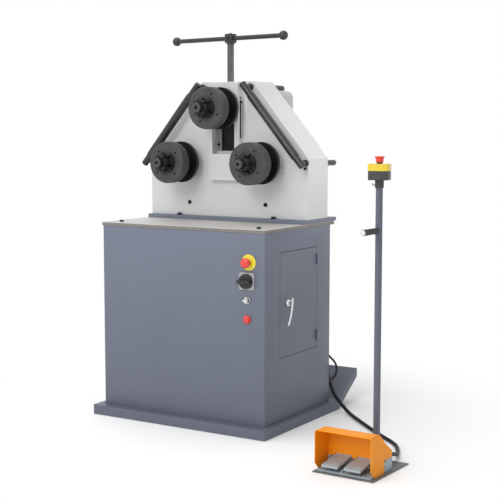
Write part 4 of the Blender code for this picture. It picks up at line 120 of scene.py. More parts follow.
def smooth_route(points, step):
    """Read a centripetal spline through the route's points at nearly even steps."""
    points = [Vector(point) for point in points]
    ends = [points[0] * 2 - points[1], *points, points[-1] * 2 - points[-2]]
    dense = []
    fine = 24
    for i in range(1, len(ends) - 2):
        a, b, c, d = ends[i - 1], ends[i], ends[i + 1], ends[i + 2]
        knots = [0.0]
        for first, second in ((a, b), (b, c), (c, d)):
            knots.append(knots[-1] + math.sqrt((second - first).length))
        for k in range(fine):
            t = knots[1] + (knots[2] - knots[1]) * k / fine
            ab = a.lerp(b, (t - knots[0]) / (knots[1] - knots[0]))
            bc = b.lerp(c, (t - knots[1]) / (knots[2] - knots[1]))
            cd = c.lerp(d, (t - knots[2]) / (knots[3] - knots[2]))
            abc = ab.lerp(bc, (t - knots[0]) / (knots[2] - knots[0]))
            bcd = bc.lerp(cd, (t - knots[1]) / (knots[3] - knots[1]))
            dense.append(abc.lerp(bcd, (t - knots[1]) / (knots[2] - knots[1])))
    dense.append(points[-1])
    lengths = [0.0]
    for first, second in zip(dense, dense[1:]):
        lengths.append(lengths[-1] + (second - first).length)
    count = max(2, round(lengths[-1] / step))
    route = []
    spot = 0
    for number in range(count + 1):
        wanted = lengths[-1] * number / count
        while spot < len(lengths) - 2 and lengths[spot + 1] < wanted:
            spot += 1
        span = lengths[spot + 1] - lengths[spot]
        share = (wanted - lengths[spot]) / span if span else 0
        route.append(dense[spot].lerp(dense[spot + 1], min(1, share)))
    return route, lengths[-1]


# Finishes

STREAK_RELIEF = 0.00004


def finish(name, colour, rough, metal=0.0, coat=0.0, mottle=(), bumps=(), streak=None, fade=None, shine=0.5):
    """A procedural surface.

    mottle holds (scale, amount) pairs, bumps holds (scale, height in metres) pairs, streak is (scale vector, amount)
    and fade is (low, high, factor at the low end) along Z: painted shade, darker towards the low end. shine is the
    level of the plain reflection.
    """
    made = bpy.data.materials.new(name)
    made.use_nodes = True
    tree = made.node_tree
    shader = tree.nodes["Principled BSDF"]
    shader.inputs["Metallic"].default_value = metal
    shader.inputs["Specular IOR Level"].default_value = shine
    if coat:
        shader.inputs["Coat Weight"].default_value = coat
        shader.inputs["Coat Roughness"].default_value = 0.15
    place = tree.nodes.new("ShaderNodeTexCoord")
    value = None

    def times(first, second):
        if first is None:
            return second
        node = tree.nodes.new("ShaderNodeMath")
        node.operation = "MULTIPLY"
        tree.links.new(first, node.inputs[0])
        tree.links.new(second, node.inputs[1])
        return node.outputs[0]

    def noise(scale, stretch=None, detail=4.0):
        node = tree.nodes.new("ShaderNodeTexNoise")
        node.inputs["Scale"].default_value = scale
        node.inputs["Detail"].default_value = detail
        source = place.outputs["Object"]
        if stretch:
            mapping = tree.nodes.new("ShaderNodeMapping")
            mapping.inputs["Scale"].default_value = stretch
            tree.links.new(source, mapping.inputs["Vector"])
            source = mapping.outputs["Vector"]
        tree.links.new(source, node.inputs["Vector"])
        return node.outputs["Fac"]

    def spread(source, low, high, start=0.3, end=0.7):
        node = tree.nodes.new("ShaderNodeMapRange")
        node.inputs["From Min"].default_value = start
        node.inputs["From Max"].default_value = end
        node.inputs["To Min"].default_value = low
        node.inputs["To Max"].default_value = high
        tree.links.new(source, node.inputs["Value"])
        return node.outputs["Result"]

    for scale, amount in mottle:
        value = times(value, spread(noise(scale), 1 - amount, 1 + amount))
    rough_source = None
    if streak:
        stretch, amount = streak
        lines = noise(1.0, stretch, 2.0)
        value = times(value, spread(lines, 1 - amount, 1 + amount))
        rough_source = spread(lines, rough * (1 - amount), min(1.0, rough * (1 + amount)))
    elif mottle:
        rough_source = spread(noise(mottle[0][0] * 1.7), rough * 0.88, min(1.0, rough * 1.12))
    # painted shade: fade darkens the colour towards the low end along Z
    if fade:
        low, high, factor = fade
        split = tree.nodes.new("ShaderNodeSeparateXYZ")
        tree.links.new(place.outputs["Object"], split.inputs[0])
        value = times(value, spread(split.outputs["Z"], factor, 1.0, low, high))
    if value is None:
        shader.inputs["Base Color"].default_value = (*colour, 1)
    else:
        mix = tree.nodes.new("ShaderNodeMix")
        mix.data_type = "RGBA"
        mix.blend_type = "MULTIPLY"
        mix.inputs["Factor"].default_value = 1.0
        mix.inputs[6].default_value = (*colour, 1)
        joined = tree.nodes.new("ShaderNodeCombineColor")
        for socket in joined.inputs[:3]:
            tree.links.new(value, socket)
        tree.links.new(joined.outputs[0], mix.inputs[7])
        tree.links.new(mix.outputs[2], shader.inputs["Base Color"])
    if rough_source is None:
        shader.inputs["Roughness"].default_value = rough
    else:
        tree.links.new(rough_source, shader.inputs["Roughness"])
    reliefs = [(scale, height, None, 3.0) for scale, height in bumps]
    if streak:
        reliefs.append((1.0, STREAK_RELIEF, streak[0], 2.0))
    normal = None
    for scale, height, stretch, detail in reliefs:
        bump = tree.nodes.new("ShaderNodeBump")
        bump.inputs["Strength"].default_value = 1.0
        bump.inputs["Distance"].default_value = height
        tree.links.new(noise(scale, stretch, detail), bump.inputs["Height"])
        if normal:
            tree.links.new(normal, bump.inputs["Normal"])
        normal = bump.outputs["Normal"]
    if normal:
        tree.links.new(normal, shader.inputs["Normal"])
    return made


PEEL = ((900, 0.00010), (260, 0.00008))

LOOKS = {
    # painted shade: the cabinet's colour is darker towards the floor, through fade
    "cabinet_blue": dict(
        colour=(0.155, 0.175, 0.232), rough=0.42, mottle=((3, 0.03), (60, 0.02)), bumps=PEEL, fade=(0.0, 0.85, 0.66),
    ),
    "post_blue": dict(colour=(0.105, 0.115, 0.155), rough=0.40, mottle=((8, 0.03),), bumps=PEEL),
    "head_grey": dict(colour=(0.63, 0.63, 0.63), rough=0.5, mottle=((4, 0.015), (90, 0.012)), bumps=PEEL),
    "motor_grey": dict(colour=(0.50, 0.50, 0.50), rough=0.5, mottle=((9, 0.03),), bumps=((500, 0.0002),)),
    "table_steel": dict(
        colour=(0.56, 0.545, 0.53), rough=0.46, metal=0.45, mottle=((6, 0.05), (140, 0.04)),
        streak=((12, 900, 900), 0.10),
    ),
    "table_edge": dict(colour=(0.21, 0.195, 0.18), rough=0.5, metal=0.2, mottle=((30, 0.12), (300, 0.08))),
    "keeper_steel": dict(colour=(0.42, 0.41, 0.40), rough=0.40, metal=0.6, streak=((700, 700, 12), 0.12)),
    "roll_steel": dict(
        colour=(0.062, 0.062, 0.063), rough=0.50, mottle=((26, 0.16), (210, 0.12)), bumps=((340, 0.00012),),
        shine=0.28,
    ),
    # painted shade: near black, with little reflection, for the shadowed groove between a roller's discs
    "painted_groove_shade": dict(colour=(0.010, 0.010, 0.010), rough=0.55, mottle=((26, 0.16), (210, 0.12)), shine=0.12),
    "nut_steel": dict(
        colour=(0.012, 0.012, 0.0125), rough=0.32, mottle=((60, 0.25), (260, 0.15)), bumps=((420, 0.00010),),
        shine=0.35,
    ),
    "nose_steel": dict(colour=(0.055, 0.055, 0.055), rough=0.42, mottle=((120, 0.12),), shine=0.4),
    "bar_steel": dict(
        colour=(0.024, 0.024, 0.025), rough=0.34, mottle=((30, 0.18), (260, 0.10)), bumps=((420, 0.00008),),
    ),
    "screw_steel": dict(
        colour=(0.105, 0.105, 0.108), rough=0.38, metal=0.7, mottle=((40, 0.12),), bumps=((420, 0.00006),),
        streak=((40, 40, 1250), 0.16),
    ),
    "black_oxide": dict(
        colour=(0.009, 0.009, 0.0095), rough=0.45, mottle=((50, 0.25),), bumps=((400, 0.00006),), shine=0.25,
    ),
    "chrome": dict(colour=(0.78, 0.78, 0.79), rough=0.12, metal=1.0, mottle=((120, 0.03),)),
    "satin_chrome": dict(colour=(0.66, 0.66, 0.665), rough=0.26, metal=1.0, mottle=((150, 0.05),)),
    "hinge_steel": dict(colour=(0.19, 0.21, 0.26), rough=0.45, metal=0.3, mottle=((150, 0.08),)),
    "gear_steel": dict(
        colour=(0.38, 0.375, 0.365), rough=0.36, metal=0.9, mottle=((60, 0.10),), streak=((300, 8, 300), 0.08),
    ),
    "scale_steel": dict(colour=(0.66, 0.655, 0.64), rough=0.42, metal=0.4, streak=((900, 900, 20), 0.05)),
    "bronze": dict(colour=(0.42, 0.26, 0.09), rough=0.38, metal=0.9, mottle=((80, 0.10),)),
    "zinc": dict(colour=(0.52, 0.52, 0.51), rough=0.38, metal=0.85, mottle=((45, 0.12), (300, 0.06))),
    "guard_orange": dict(colour=(0.90, 0.300, 0.004), rough=0.5, mottle=((12, 0.02),), bumps=PEEL, shine=0.3),
    "pedal_cast": dict(
        colour=(0.350, 0.430, 0.470), rough=0.6, mottle=((70, 0.10), (420, 0.12)),
        bumps=((600, 0.00035), (220, 0.0002)),
    ),
    "foot_grey": dict(
        colour=(0.135, 0.135, 0.130), rough=0.55, metal=0.1, mottle=((30, 0.08), (500, 0.15)),
        bumps=((800, 0.0003),),
    ),
    "yellow": dict(
        colour=(0.80, 0.57, 0.030), rough=0.34, coat=0.25, mottle=((40, 0.02),), bumps=((700, 0.00004),),
    ),
    "label_yellow": dict(colour=(0.88, 0.76, 0.060), rough=0.38, mottle=((60, 0.02),)),
    "red": dict(colour=(0.78, 0.045, 0.030), rough=0.30, coat=0.4, mottle=((60, 0.03),)),
    "lamp_red": dict(colour=(0.72, 0.030, 0.030), rough=0.16, coat=0.8, mottle=((90, 0.05),)),
    "black_plastic": dict(colour=(0.018, 0.018, 0.019), rough=0.42, mottle=((80, 0.12),), bumps=((900, 0.00006),)),
    "charcoal": dict(colour=(0.042, 0.042, 0.044), rough=0.48, mottle=((80, 0.10),), bumps=((900, 0.00008),)),
    "white_plastic": dict(colour=(0.72, 0.72, 0.71), rough=0.4, mottle=((80, 0.02),)),
    "plate_grey": dict(colour=(0.40, 0.40, 0.42), rough=0.45, mottle=((60, 0.03),), bumps=((800, 0.00004),)),
    "rubber": dict(colour=(0.022, 0.022, 0.023), rough=0.6, mottle=((90, 0.12),), bumps=((700, 0.00010),)),
    "cable_black": dict(
        colour=(0.004, 0.005, 0.006), rough=0.5, mottle=((40, 0.08),), bumps=((500, 0.00006),), shine=0.3,
    ),
    # painted shade: near black for the shaded insides of slits and holes
    "painted_hole_shade": dict(colour=(0.006, 0.006, 0.006), rough=0.8, mottle=((50, 0.1),), shine=0.1),
    "mark_dark": dict(colour=(0.10, 0.095, 0.09), rough=0.6, mottle=((300, 0.1),)),
    "mark_red": dict(colour=(0.42, 0.10, 0.06), rough=0.6, mottle=((300, 0.1),)),
    "wire_red": dict(colour=(0.45, 0.03, 0.02), rough=0.4, mottle=((300, 0.05),)),
    "wire_blue": dict(colour=(0.03, 0.07, 0.35), rough=0.4, mottle=((300, 0.05),)),
}

LOOK = {name: finish(name, **look) for name, look in LOOKS.items()}


def soften(thing, width=0.0005, angle=32):
    """Merge the node's split corners, shade it smooth below an angle and round its edges a little."""
    group = bpy.data.node_groups.get(f"smooth_{angle}")
    if group is None:
        group = bpy.data.node_groups.new(f"smooth_{angle}", "GeometryNodeTree")
        group.interface.new_socket("Geometry", in_out="INPUT", socket_type="NodeSocketGeometry")
        group.interface.new_socket("Geometry", in_out="OUTPUT", socket_type="NodeSocketGeometry")
        start = group.nodes.new("NodeGroupInput")
        end = group.nodes.new("NodeGroupOutput")
        drop = group.nodes.new("GeometryNodeRemoveAttribute")
        drop.inputs["Name"].default_value = "custom_normal"
        merge = group.nodes.new("GeometryNodeMergeByDistance")
        merge.inputs["Distance"].default_value = 0.00001
        faces = group.nodes.new("GeometryNodeSetShadeSmooth")
        faces.domain = "FACE"
        edges = group.nodes.new("GeometryNodeSetShadeSmooth")
        edges.domain = "EDGE"
        edges.inputs["Shade Smooth"].default_value = False
        turn = group.nodes.new("GeometryNodeInputMeshEdgeAngle")
        test = group.nodes.new("FunctionNodeCompare")
        test.data_type = "FLOAT"
        test.operation = "GREATER_THAN"
        test.inputs[1].default_value = math.radians(angle)
        link = group.links.new
        link(start.outputs[0], drop.inputs["Geometry"])
        link(drop.outputs[0], merge.inputs["Geometry"])
        link(merge.outputs[0], faces.inputs["Geometry"])
        link(faces.outputs[0], edges.inputs["Geometry"])
        link(turn.outputs["Unsigned Angle"], test.inputs[0])
        link(test.outputs[0], edges.inputs["Selection"])
        link(edges.outputs[0], end.inputs[0])
    step = thing.modifiers.new("smooth", "NODES")
    step.node_group = group
    if width:
        edge = thing.modifiers.new("edge", "BEVEL")
        edge.width = width
        edge.segments = 1
        edge.limit_method = "ANGLE"
        edge.angle_limit = math.radians(angle)
        edge.harden_normals = True


def paint(node, look, width=0.0005, regions=()):
    """Give a node its finish; each region is (finish, test of a face's middle and normal)."""
    thing = nodes[node]
    mesh = thing.data
    mesh.materials.clear()
    mesh.materials.append(LOOK[look])
    for name, _ in regions:
        mesh.materials.append(LOOK[name])
    for face in mesh.polygons:
        index = 0
        for number, (_, test) in enumerate(regions):
            if test(face.center, face.normal):
                index = number + 1
        face.material_index = index
    soften(thing, width)


def local(matrix):
    """Turn a test in a local frame into a test in the model's frame."""
    back = matrix.inverted()

    def wrap(test):
        return lambda centre, normal: test(back @ centre, back.to_3x3() @ normal)

    return wrap


def near_axis(prefix, reach):
    """Test for the faces whose middles lie within a reach of a roller's axis."""
    x, z = ROLLS[prefix]
    return lambda c, n: math.hypot(c.x - x, c.z - z) < reach


def paint_nodes():
    """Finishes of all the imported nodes."""
    at_station = local(STATION)
    at_box = local(BOX_FRAME)
    for node in ("plinth", "head_base_plate"):
        paint(node, "cabinet_blue", 0.0008)
    knuckle = (
        "hinge_steel", lambda c, n: c.x > SIDE + 0.0017 or (c.x > SIDE + 0.0002 and abs(c.y - HINGE_Y) < 0.0046),
    )
    rose = ("chrome", lambda c, n: c.x > SIDE + 0.0003 and math.hypot(c.y - LOCK[0], c.z - LOCK[1]) < 0.017)
    paint("cabinet_shell", "cabinet_blue", 0.0004, (knuckle,))
    paint("door", "cabinet_blue", 0.0004, (knuckle, rose))
    paint("station_post", "post_blue", 0.0, (
        ("white_plastic", at_station(lambda c, n: c.y < 0.19)),
    ))
    for node in ("head_housing", "bearing_flange_left", "bearing_flange_right"):
        paint(node, "head_grey", 0.0008)
    paint("slot_frame", "head_grey", 0.0008, (
        # painted shade: the inside of the pointer's slit is painted near black
        ("painted_hole_shade", lambda c, n: 0.0530 < c.x < FRAME_RIGHT and 0.0615 < c.y < 0.0710 and 1.157 < c.z < 1.320),
    ))
    paint("gearbox", "motor_grey", 0.0010)
    paint("motor_body", "motor_grey", 0.0006, (
        ("charcoal", lambda c, n: c.y > MOTOR_Y + 0.0830 and abs(c.x - MOTOR_X) < 0.0452),
    ))
    paint("fan_cowl", "motor_grey", 0.0006)
    paint("table_plate", "table_steel", 0.0, (("table_edge", lambda c, n: n.z < 0.5),))
    for node in ("slide_keeper_left", "slide_keeper_right"):
        paint(node, "keeper_steel")
    for prefix in ROLLS:
        paint(prefix + "_roller", "roll_steel", 0.0006, (
            # painted shade: the groove between the front disc and the rear flange is painted near black
            ("painted_groove_shade", lambda c, n, inside=near_axis(prefix, 0.0855): -0.040 < c.y < 0.030 and inside(c, n)),
        ))
        paint(prefix + "_clamp_nut", "nut_steel", 0.0006)
        paint(prefix + "_shaft", "nut_steel", 0.0004, (
            ("nose_steel", lambda c, n: n.y < -0.5 and c.y < -0.1500),
            # painted shade: the middle of the shaft's front end is painted near black, as the shade of a centre hole
            ("painted_hole_shade", lambda c, n, inside=near_axis(prefix, 0.0068): c.y < -0.1400 and inside(c, n)),
        ))
    for node in ("guide_bar_left", "guide_bar_right", "rest_rod_left", "rest_rod_right", "rest_rod_top", "tommy_bar"):
        paint(node, "bar_steel", 0.0003)
    paint("pressure_screw", "bar_steel", 0.0004, (("screw_steel", lambda c, n: c.z < 1.549),))
    paint("slide_block", "black_oxide")
    paint("screw_nut", "bronze", 0.0004)
    for node in ("left_gear", "right_gear", "drive_pinion"):
        paint(node, "gear_steel", 0.0)
    paint("pedal_axle", "zinc", 0.0)
    behind = ("black_plastic", lambda c, n: c.y > FRONT - 0.0001)
    paint("stop_label", "label_yellow", 0.0003, (behind,))
    paint("stop_mushroom", "red", 0.0, (("charcoal", lambda c, n: c.y > FRONT - 0.0098),))
    paint("isolator_plate", "plate_grey", 0.0006, (behind,))
    paint("isolator_knob", "black_plastic", 0.0004)
    paint("selector_bezel", "satin_chrome", 0.0002, (behind,))
    paint("selector_knob", "black_plastic", 0.0002, (("white_plastic", lambda c, n: c.y < FRONT - 0.0108),))
    paint("pilot_lamp", "lamp_red", 0.0, (("red", lambda c, n: c.y > FRONT - 0.0064), behind))
    paint("electrical_plate", "zinc", 0.0002)
    paint("contactor_bank", "charcoal", 0.0003)
    paint("door_lever", "satin_chrome", 0.0)
    paint("cable_entry_box", "charcoal", 0.0006)
    paint("foot_plate", "foot_grey", 0.0003)
    paint("pedal_guard", "guard_orange", 0.0003)
    paint("pedal_housing", "pedal_cast", 0.0006, (
        ("charcoal", at_station(lambda c, n: c.y > PEDAL_HOUSING_REAR)),
    ))
    paint("left_pedal", "pedal_cast", 0.0008)
    paint("right_pedal", "pedal_cast", 0.0008)
    paint("post_grip", "rubber", 0.0)
    paint("stop_box_base", "charcoal", 0.0006)
    paint("stop_box_cover", "yellow", 0.0008)
    paint("post_mushroom", "red", 0.0002, (("charcoal", at_box(lambda c, n: c.z < STOP_BOX_TOP + 0.0058)),))
    paint("cable_sleeve", "rubber", 0.0)


# Building small pieces


def piece(name, bm, look, body, smooth=32, width=0.0):
    """Link a built mesh, finish it and let it ride."""
    bmesh.ops.recalc_face_normals(bm, faces=bm.faces)
    mesh = bpy.data.meshes.new(name)
    bm.to_mesh(mesh)
    bm.free()
    thing = bpy.data.objects.new(name, mesh)
    bpy.context.scene.collection.objects.link(thing)
    mesh.materials.append(LOOK[look])
    soften(thing, width, smooth)
    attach(thing, body)
    return thing


def ring_at(bm, radius, height, matrix, sides):
    """Add one ring of points, or a single point where the radius is nothing."""
    if radius < 1e-7:
        return [bm.verts.new(matrix @ Vector((0, 0, height)))]
    return [
        bm.verts.new(matrix @ Vector((
            radius * math.cos(2 * math.pi * i / sides), radius * math.sin(2 * math.pi * i / sides), height,
        )))
        for i in range(sides)
    ]


def turned(bm, profile, matrix, sides=24):
    """Add a turned solid from (radius, height) pairs, bottom to top, and return its rings."""
    rings = [ring_at(bm, radius, height, matrix, sides) for radius, height in profile]
    for low, high in zip(rings, rings[1:]):
        for i in range(sides):
            j = (i + 1) % sides
            if len(low) == 1 and len(high) == 1:
                break
            if len(low) == 1:
                bm.faces.new((low[0], high[i], high[j]))
            elif len(high) == 1:
                bm.faces.new((low[i], low[j], high[0]))
            else:
                bm.faces.new((low[i], low[j], high[j], high[i]))
    return rings


def ring_solid(bm, profile, matrix, sides=32):
    """Add a turned ring with a closed profile of (radius, height) pairs."""
    rings = [ring_at(bm, radius, height, matrix, sides) for radius, height in profile]
    for number, low in enumerate(rings):
        high = rings[(number + 1) % len(rings)]
        for i in range(sides):
            j = (i + 1) % sides
            bm.faces.new((low[i], low[j], high[j], high[i]))


def pointing(place, direction, spin=0.0):
    """A matrix whose +Z points along a direction at a place."""
    turn = Vector((0, 0, 1)).rotation_difference(Vector(direction)).to_matrix().to_4x4()
    return Matrix.Translation(place) @ turn @ Matrix.Rotation(spin, 4, "Z")


def hex_bolt(bm, matrix, across, height, washer=0.0):
    """A chamfered hexagon head on its washer."""
    foot = 0.0
    if washer:
        thick = height * 0.22
        turned(bm, ((0, 0), (washer, 0), (washer, thick * 0.7), (washer - thick * 0.3, thick), (0, thick)), matrix, 20)
        foot = thick * 0.98
    corner = across / 2 / math.cos(math.pi / 6)
    levels = ((corner, foot), (corner, foot + height * 0.86), (across / 2 * 0.9, foot + height))
    turned(bm, ((0, foot), *levels, (0, foot + height)), matrix, 6)


def socket_screw(bm, matrix, radius, height, drive=0.5):
    """A cap screw with a hexagon socket."""
    lip = radius * 0.1
    depth = height * 0.55
    hexagon = radius * drive
    sides = 24
    outer = ((0, 0), (radius, 0), (radius, height - lip), (radius - lip, height))
    ring = turned(bm, outer, matrix, sides)[-1]
    inner = []
    floor = []
    for i in range(sides):
        angle = 2 * math.pi * i / sides
        sector = (angle + math.pi / 6) % (math.pi / 3) - math.pi / 6
        reach = hexagon * math.cos(math.pi / 6) / math.cos(sector)
        spot = (reach * math.cos(angle), reach * math.sin(angle))
        inner.append(bm.verts.new(matrix @ Vector((*spot, height))))
        floor.append(bm.verts.new(matrix @ Vector((*spot, height - depth))))
    for i in range(sides):
        j = (i + 1) % sides
        bm.faces.new((ring[i], ring[j], inner[j], inner[i]))
        bm.faces.new((inner[i], inner[j], floor[j], floor[i]))
    bm.faces.new(floor)


def block(bm, low, high, matrix=Matrix.Identity(4), edge=0.0):
    """A box between two corners with chamfered edges."""
    low = Vector(low)
    high = Vector(high)
    made = bmesh.ops.create_cube(bm, size=1)["verts"]
    shape = matrix @ Matrix.Translation((low + high) / 2) @ Matrix.Diagonal((*(high - low), 1))
    bmesh.ops.transform(bm, matrix=shape, verts=made)
    if edge:
        edges = list({e for v in made for e in v.link_edges})
        bmesh.ops.bevel(bm, geom=edges, offset=edge, segments=2, affect="EDGES", profile=0.5)


def tube(name, route, radius, look, body, ring=16):
    """A smooth round tube along a route, as one curve."""
    curve = bpy.data.curves.new(name, "CURVE")
    curve.dimensions = "3D"
    curve.bevel_depth = radius
    curve.bevel_resolution = ring // 4
    curve.use_fill_caps = True
    spline = curve.splines.new("POLY")
    spline.points.add(len(route) - 1)
    for point, spot in zip(spline.points, route):
        point.co = (*spot, 1)
    spline.use_smooth = True
    thing = bpy.data.objects.new(name, curve)
    bpy.context.scene.collection.objects.link(thing)
    curve.materials.append(LOOK[look])
    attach(thing, body)
    return thing


def cables():
    """The pedal cable and the thin cable, on the routes of the model."""
    route, length = smooth_route(PEDAL_ROUTE, 0.012)
    thick = tube("pedal_cable_jacket", route, PEDAL_CABLE_RADIUS, "cable_black", "stand")
    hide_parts("pedal_cable")
    route, length = smooth_route(THIN_ROUTE, 0.008)
    thin = tube("thin_cable_jacket", route, THIN_CABLE_RADIUS, "cable_black", "stand")
    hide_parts("thin_cable")


def fasten(name, spots, direction, look, body, slot, across=0.0, height=0.0, washer=0.0, cap=0.0):
    """One mesh of like screws: hexagon heads where a width across flats is given, cap screws otherwise."""
    bm = bmesh.new()
    for number, spot in enumerate(spots):
        place = pointing(Vector(spot), direction, 0.4 + number)
        if across:
            hex_bolt(bm, place, across, height, washer)
        else:
            socket_screw(bm, place, cap, height)
    return piece(name, bm, look, body, width=0.0003)


def round_box(name, low, high, look, body, edge=0.0008, matrix=Matrix.Identity(4)):
    """A block with rounded edges, as one piece."""
    bm = bmesh.new()
    block(bm, low, high, matrix, edge)
    return piece(name, bm, look, body)


def bolt_ring(centre_x, y, reach):
    """Six places evenly round a shaft at the lower rolls' height."""
    ring = []
    for turn in range(6):
        angle = math.pi / 6 + math.pi / 3 * turn
        ring.append((centre_x + reach * math.cos(angle), y, LOWER_Z + reach * math.sin(angle)))
    return ring


def stand_screws():
    """Fasteners of the plates, head, keepers, flanges and guide bars."""
    up = (0, 0, 1)
    forward = (0, -1, 0)
    ledge_bolt = {"across": 0.017, "height": 0.0085, "washer": 0.0125}
    fasten(
        "table_bolts", [(x, -0.215, TABLE_TOP - SINK) for x in (-0.337, 0.337)], up, *OXIDE,
        cap=0.0090, height=0.0075,
    )
    fasten("ledge_bolts", [(x, 0.0625, BASE_TOP - SINK) for x in (-0.237, 0.237)], up, *OXIDE, **ledge_bolt)
    fasten(
        "rear_ledge_bolts", [(x, 0.2800, BASE_TOP - SINK) for x in (-0.300, 0.0, 0.300)], up, *OXIDE, **ledge_bolt,
    )
    fasten(
        "head_screws", [(x, HEAD_FRONT + SINK, 0.884) for x in (-0.1913, 0.1913)], forward, *OXIDE,
        cap=0.0085, height=0.0042,
    )
    fasten(
        "keeper_screws", [(x, 0.0912, z) for x in (-0.0478, 0.0478) for z in (1.1320, 1.3000)], forward, *OXIDE,
        cap=0.0058, height=0.0050,
    )
    for x, flange in ((-ROLL_X, "left"), (ROLL_X, "right")):
        ring = bolt_ring(x, HEAD_FRONT - 0.025 + SINK, 0.0500)
        fasten(f"flange_screws_{flange}", ring, forward, *OXIDE, cap=0.0045, height=0.0045)
    fasten(
        "bar_screws", [(x, HEAD_FRONT + SINK, 1.0370) for x in (-0.3800, 0.3800)], forward, *OXIDE,
        cap=0.0052, height=0.0060,
    )


def guard_lip():
    """The guard's lower lip, which closes the gap over the pedals and beside them."""
    bm = bmesh.new()
    for left, right, foot in (
        (0.0052, 0.0310, 0.0408), (0.0310, 0.1000, 0.0500), (0.1000, 0.1205, 0.0408), (0.1205, 0.1895, 0.0500),
        (0.1895, 0.2248, 0.0408),
    ):
        block(bm, (left, 0.1046, foot), (right, 0.1066, 0.0538), STATION)
    piece("guard_lip", bm, "guard_orange", "stand")


def scale():
    """The scale beside the pointer's slit: a bare steel strip, its ticks and a thin red line."""
    low_z = 1.1580
    high_z = 1.3300
    face = HEAD_FRONT - 0.0010
    round_box(
        "scale_strip", (0.0746, face, low_z), (0.0980, HEAD_FRONT + 0.0003, high_z), "scale_steel", "stand",
        0.0002,
    )
    bm = bmesh.new()
    for number in range(33):
        z = low_z + 0.006 + number * 0.005
        reach = 0.0100 if number % 5 == 0 else 0.0055
        block(bm, (0.0775, face - 0.00015, z - 0.00022), (0.0775 + reach, face + 0.0001, z + 0.00022))
    piece("scale_ticks", bm, "mark_dark", "stand")
    bm = bmesh.new()
    block(bm, (0.0905, face - 0.00015, low_z + 0.009), (0.0914, face + 0.0001, high_z - 0.009))
    piece("scale_line", bm, "mark_red", "stand")
    fasten(
        "scale_screws", [(0.0863, face + 0.0002, z) for z in (low_z + 0.004, high_z - 0.004)], (0, -1, 0),
        *ZINC, cap=0.0022, height=0.0010,
    )
    fasten("slit_screw", [(0.0737, 0.0662, 1.3275)], (1, 0, 0), *OXIDE, cap=0.0040, height=0.0030)


def gearmotor():
    """Bolts, plugs, the fan's grille, the terminal box's lid and the motor's lead with its glands."""
    fasten(
        "gearbox_bolts", bolt_ring(0, GEARBOX_REAR - SINK, 0.065), (0, 1, 0), *ZINC,
        across=0.010, height=0.0055, washer=0.0075,
    )
    bm = bmesh.new()
    cap = Matrix.Translation((0, GEARBOX_REAR - SINK, LOWER_Z)) @ Matrix.Rotation(-math.pi / 2, 4, "X")
    profile = ((0, 0.0030), (0.022, 0.0030), (0.022, 0), (0.048, 0), (0.048, 0.004), (0.044, 0.006), (0.026, 0.006))
    turned(bm, (*profile, (0.024, 0.009), (0, 0.009)), cap, 36)
    piece("gearbox_cover", bm, "motor_grey", "stand", 40)
    fasten(
        "oil_plug", [(MOTOR_X, MOTOR_Y, 0.9752 + SINK)], (0, 0, -1), *ZINC, across=0.014, height=0.008, washer=0.011,
    )
    bm = bmesh.new()
    place = Matrix.Translation((0.1176, MOTOR_Y, LOWER_Z)) @ Matrix.Rotation(math.pi / 2, 4, "Y")
    turned(bm, ((0, 0), (0.0125, 0), (0.0125, 0.003), (0.009, 0.0045), (0, 0.0045)), place, 24)
    piece("oil_eye", bm, "zinc", "stand", 40)
    under = [
        (MOTOR_X + 0.0725 * math.cos(turn), MOTOR_Y + 0.0725 * math.sin(turn), 1.1272 + SINK)
        for turn in (-0.9, 0.0, 0.9)
    ]
    fasten("flange_nuts", under, (0, 0, -1), *ZINC, across=0.010, height=0.0055, washer=0.0072)
    bm = bmesh.new()
    for reach in (0.012, 0.022, 0.032, 0.042, 0.052):
        inner = reach - 0.0016
        outer = reach + 0.0016
        lip = ((inner, -SINK), (outer, -SINK), (outer, 0.0012), (inner, 0.0012))
        ring_solid(bm, lip, Matrix.Translation((MOTOR_X, MOTOR_Y, COWL_TOP)), 40)
    piece("fan_grille", bm, "charcoal", "stand", 40)
    half = 0.0458
    edge = 0.0008
    round_box(
        "terminal_lid", (MOTOR_X - half, TERMINAL_REAR - SINK, TERMINAL_FOOT - edge),
        (MOTOR_X + half, TERMINAL_REAR + 0.0048, TERMINAL_TOP + edge), "motor_grey", "stand", 0.0015,
    )
    middle = (TERMINAL_FOOT + TERMINAL_TOP) / 2
    corners = [
        (MOTOR_X + a * 0.038, TERMINAL_REAR + 0.0045, middle + b * 0.038) for a in (-1, 1) for b in (-1, 1)
    ]
    fasten("lid_screws", corners, (0, 1, 0), *ZINC, cap=0.0034, height=0.0020)
    bm = bmesh.new()
    gland = ((0, 0), (0.0110, 0), (0.0110, 0.009), (0.0098, 0.010), (0.0098, 0.018), (0.0080, 0.022), (0, 0.022))
    under_box = Matrix.Translation((MOTOR_X, MOTOR_LEAD_Y, TERMINAL_FOOT + 0.0005))
    turned(bm, gland, under_box @ Matrix.Rotation(math.pi, 4, "X"), 24)
    turned(bm, gland, Matrix.Translation((0.1200, 0.2900, BASE_TOP - 0.0005)), 24)
    piece("motor_glands", bm, "black_plastic", "stand", 40)
    route, _ = smooth_route((
        (MOTOR_X, MOTOR_LEAD_Y, 1.1450), (MOTOR_X, MOTOR_LEAD_Y, 1.1100), (0.0740, 0.4440, 1.0400),
        (0.0820, 0.4300, 0.9700), (0.1020, 0.3800, 0.9180), (0.1180, 0.3150, 0.8900), (0.1200, 0.2910, 0.8620),
        (0.1200, 0.2900, 0.8485),
    ), 0.010)
    tube("motor_lead", route, 0.0055, "cable_black", "stand")


def front_controls():
    """Screws of the isolator's plate."""
    fasten(
        "isolator_screws", [(0.3430, FRONT - 0.0070, z) for z in (0.5842, 0.6372)], (0, -1, 0), *ZINC,
        cap=0.0032, height=0.0014,
    )


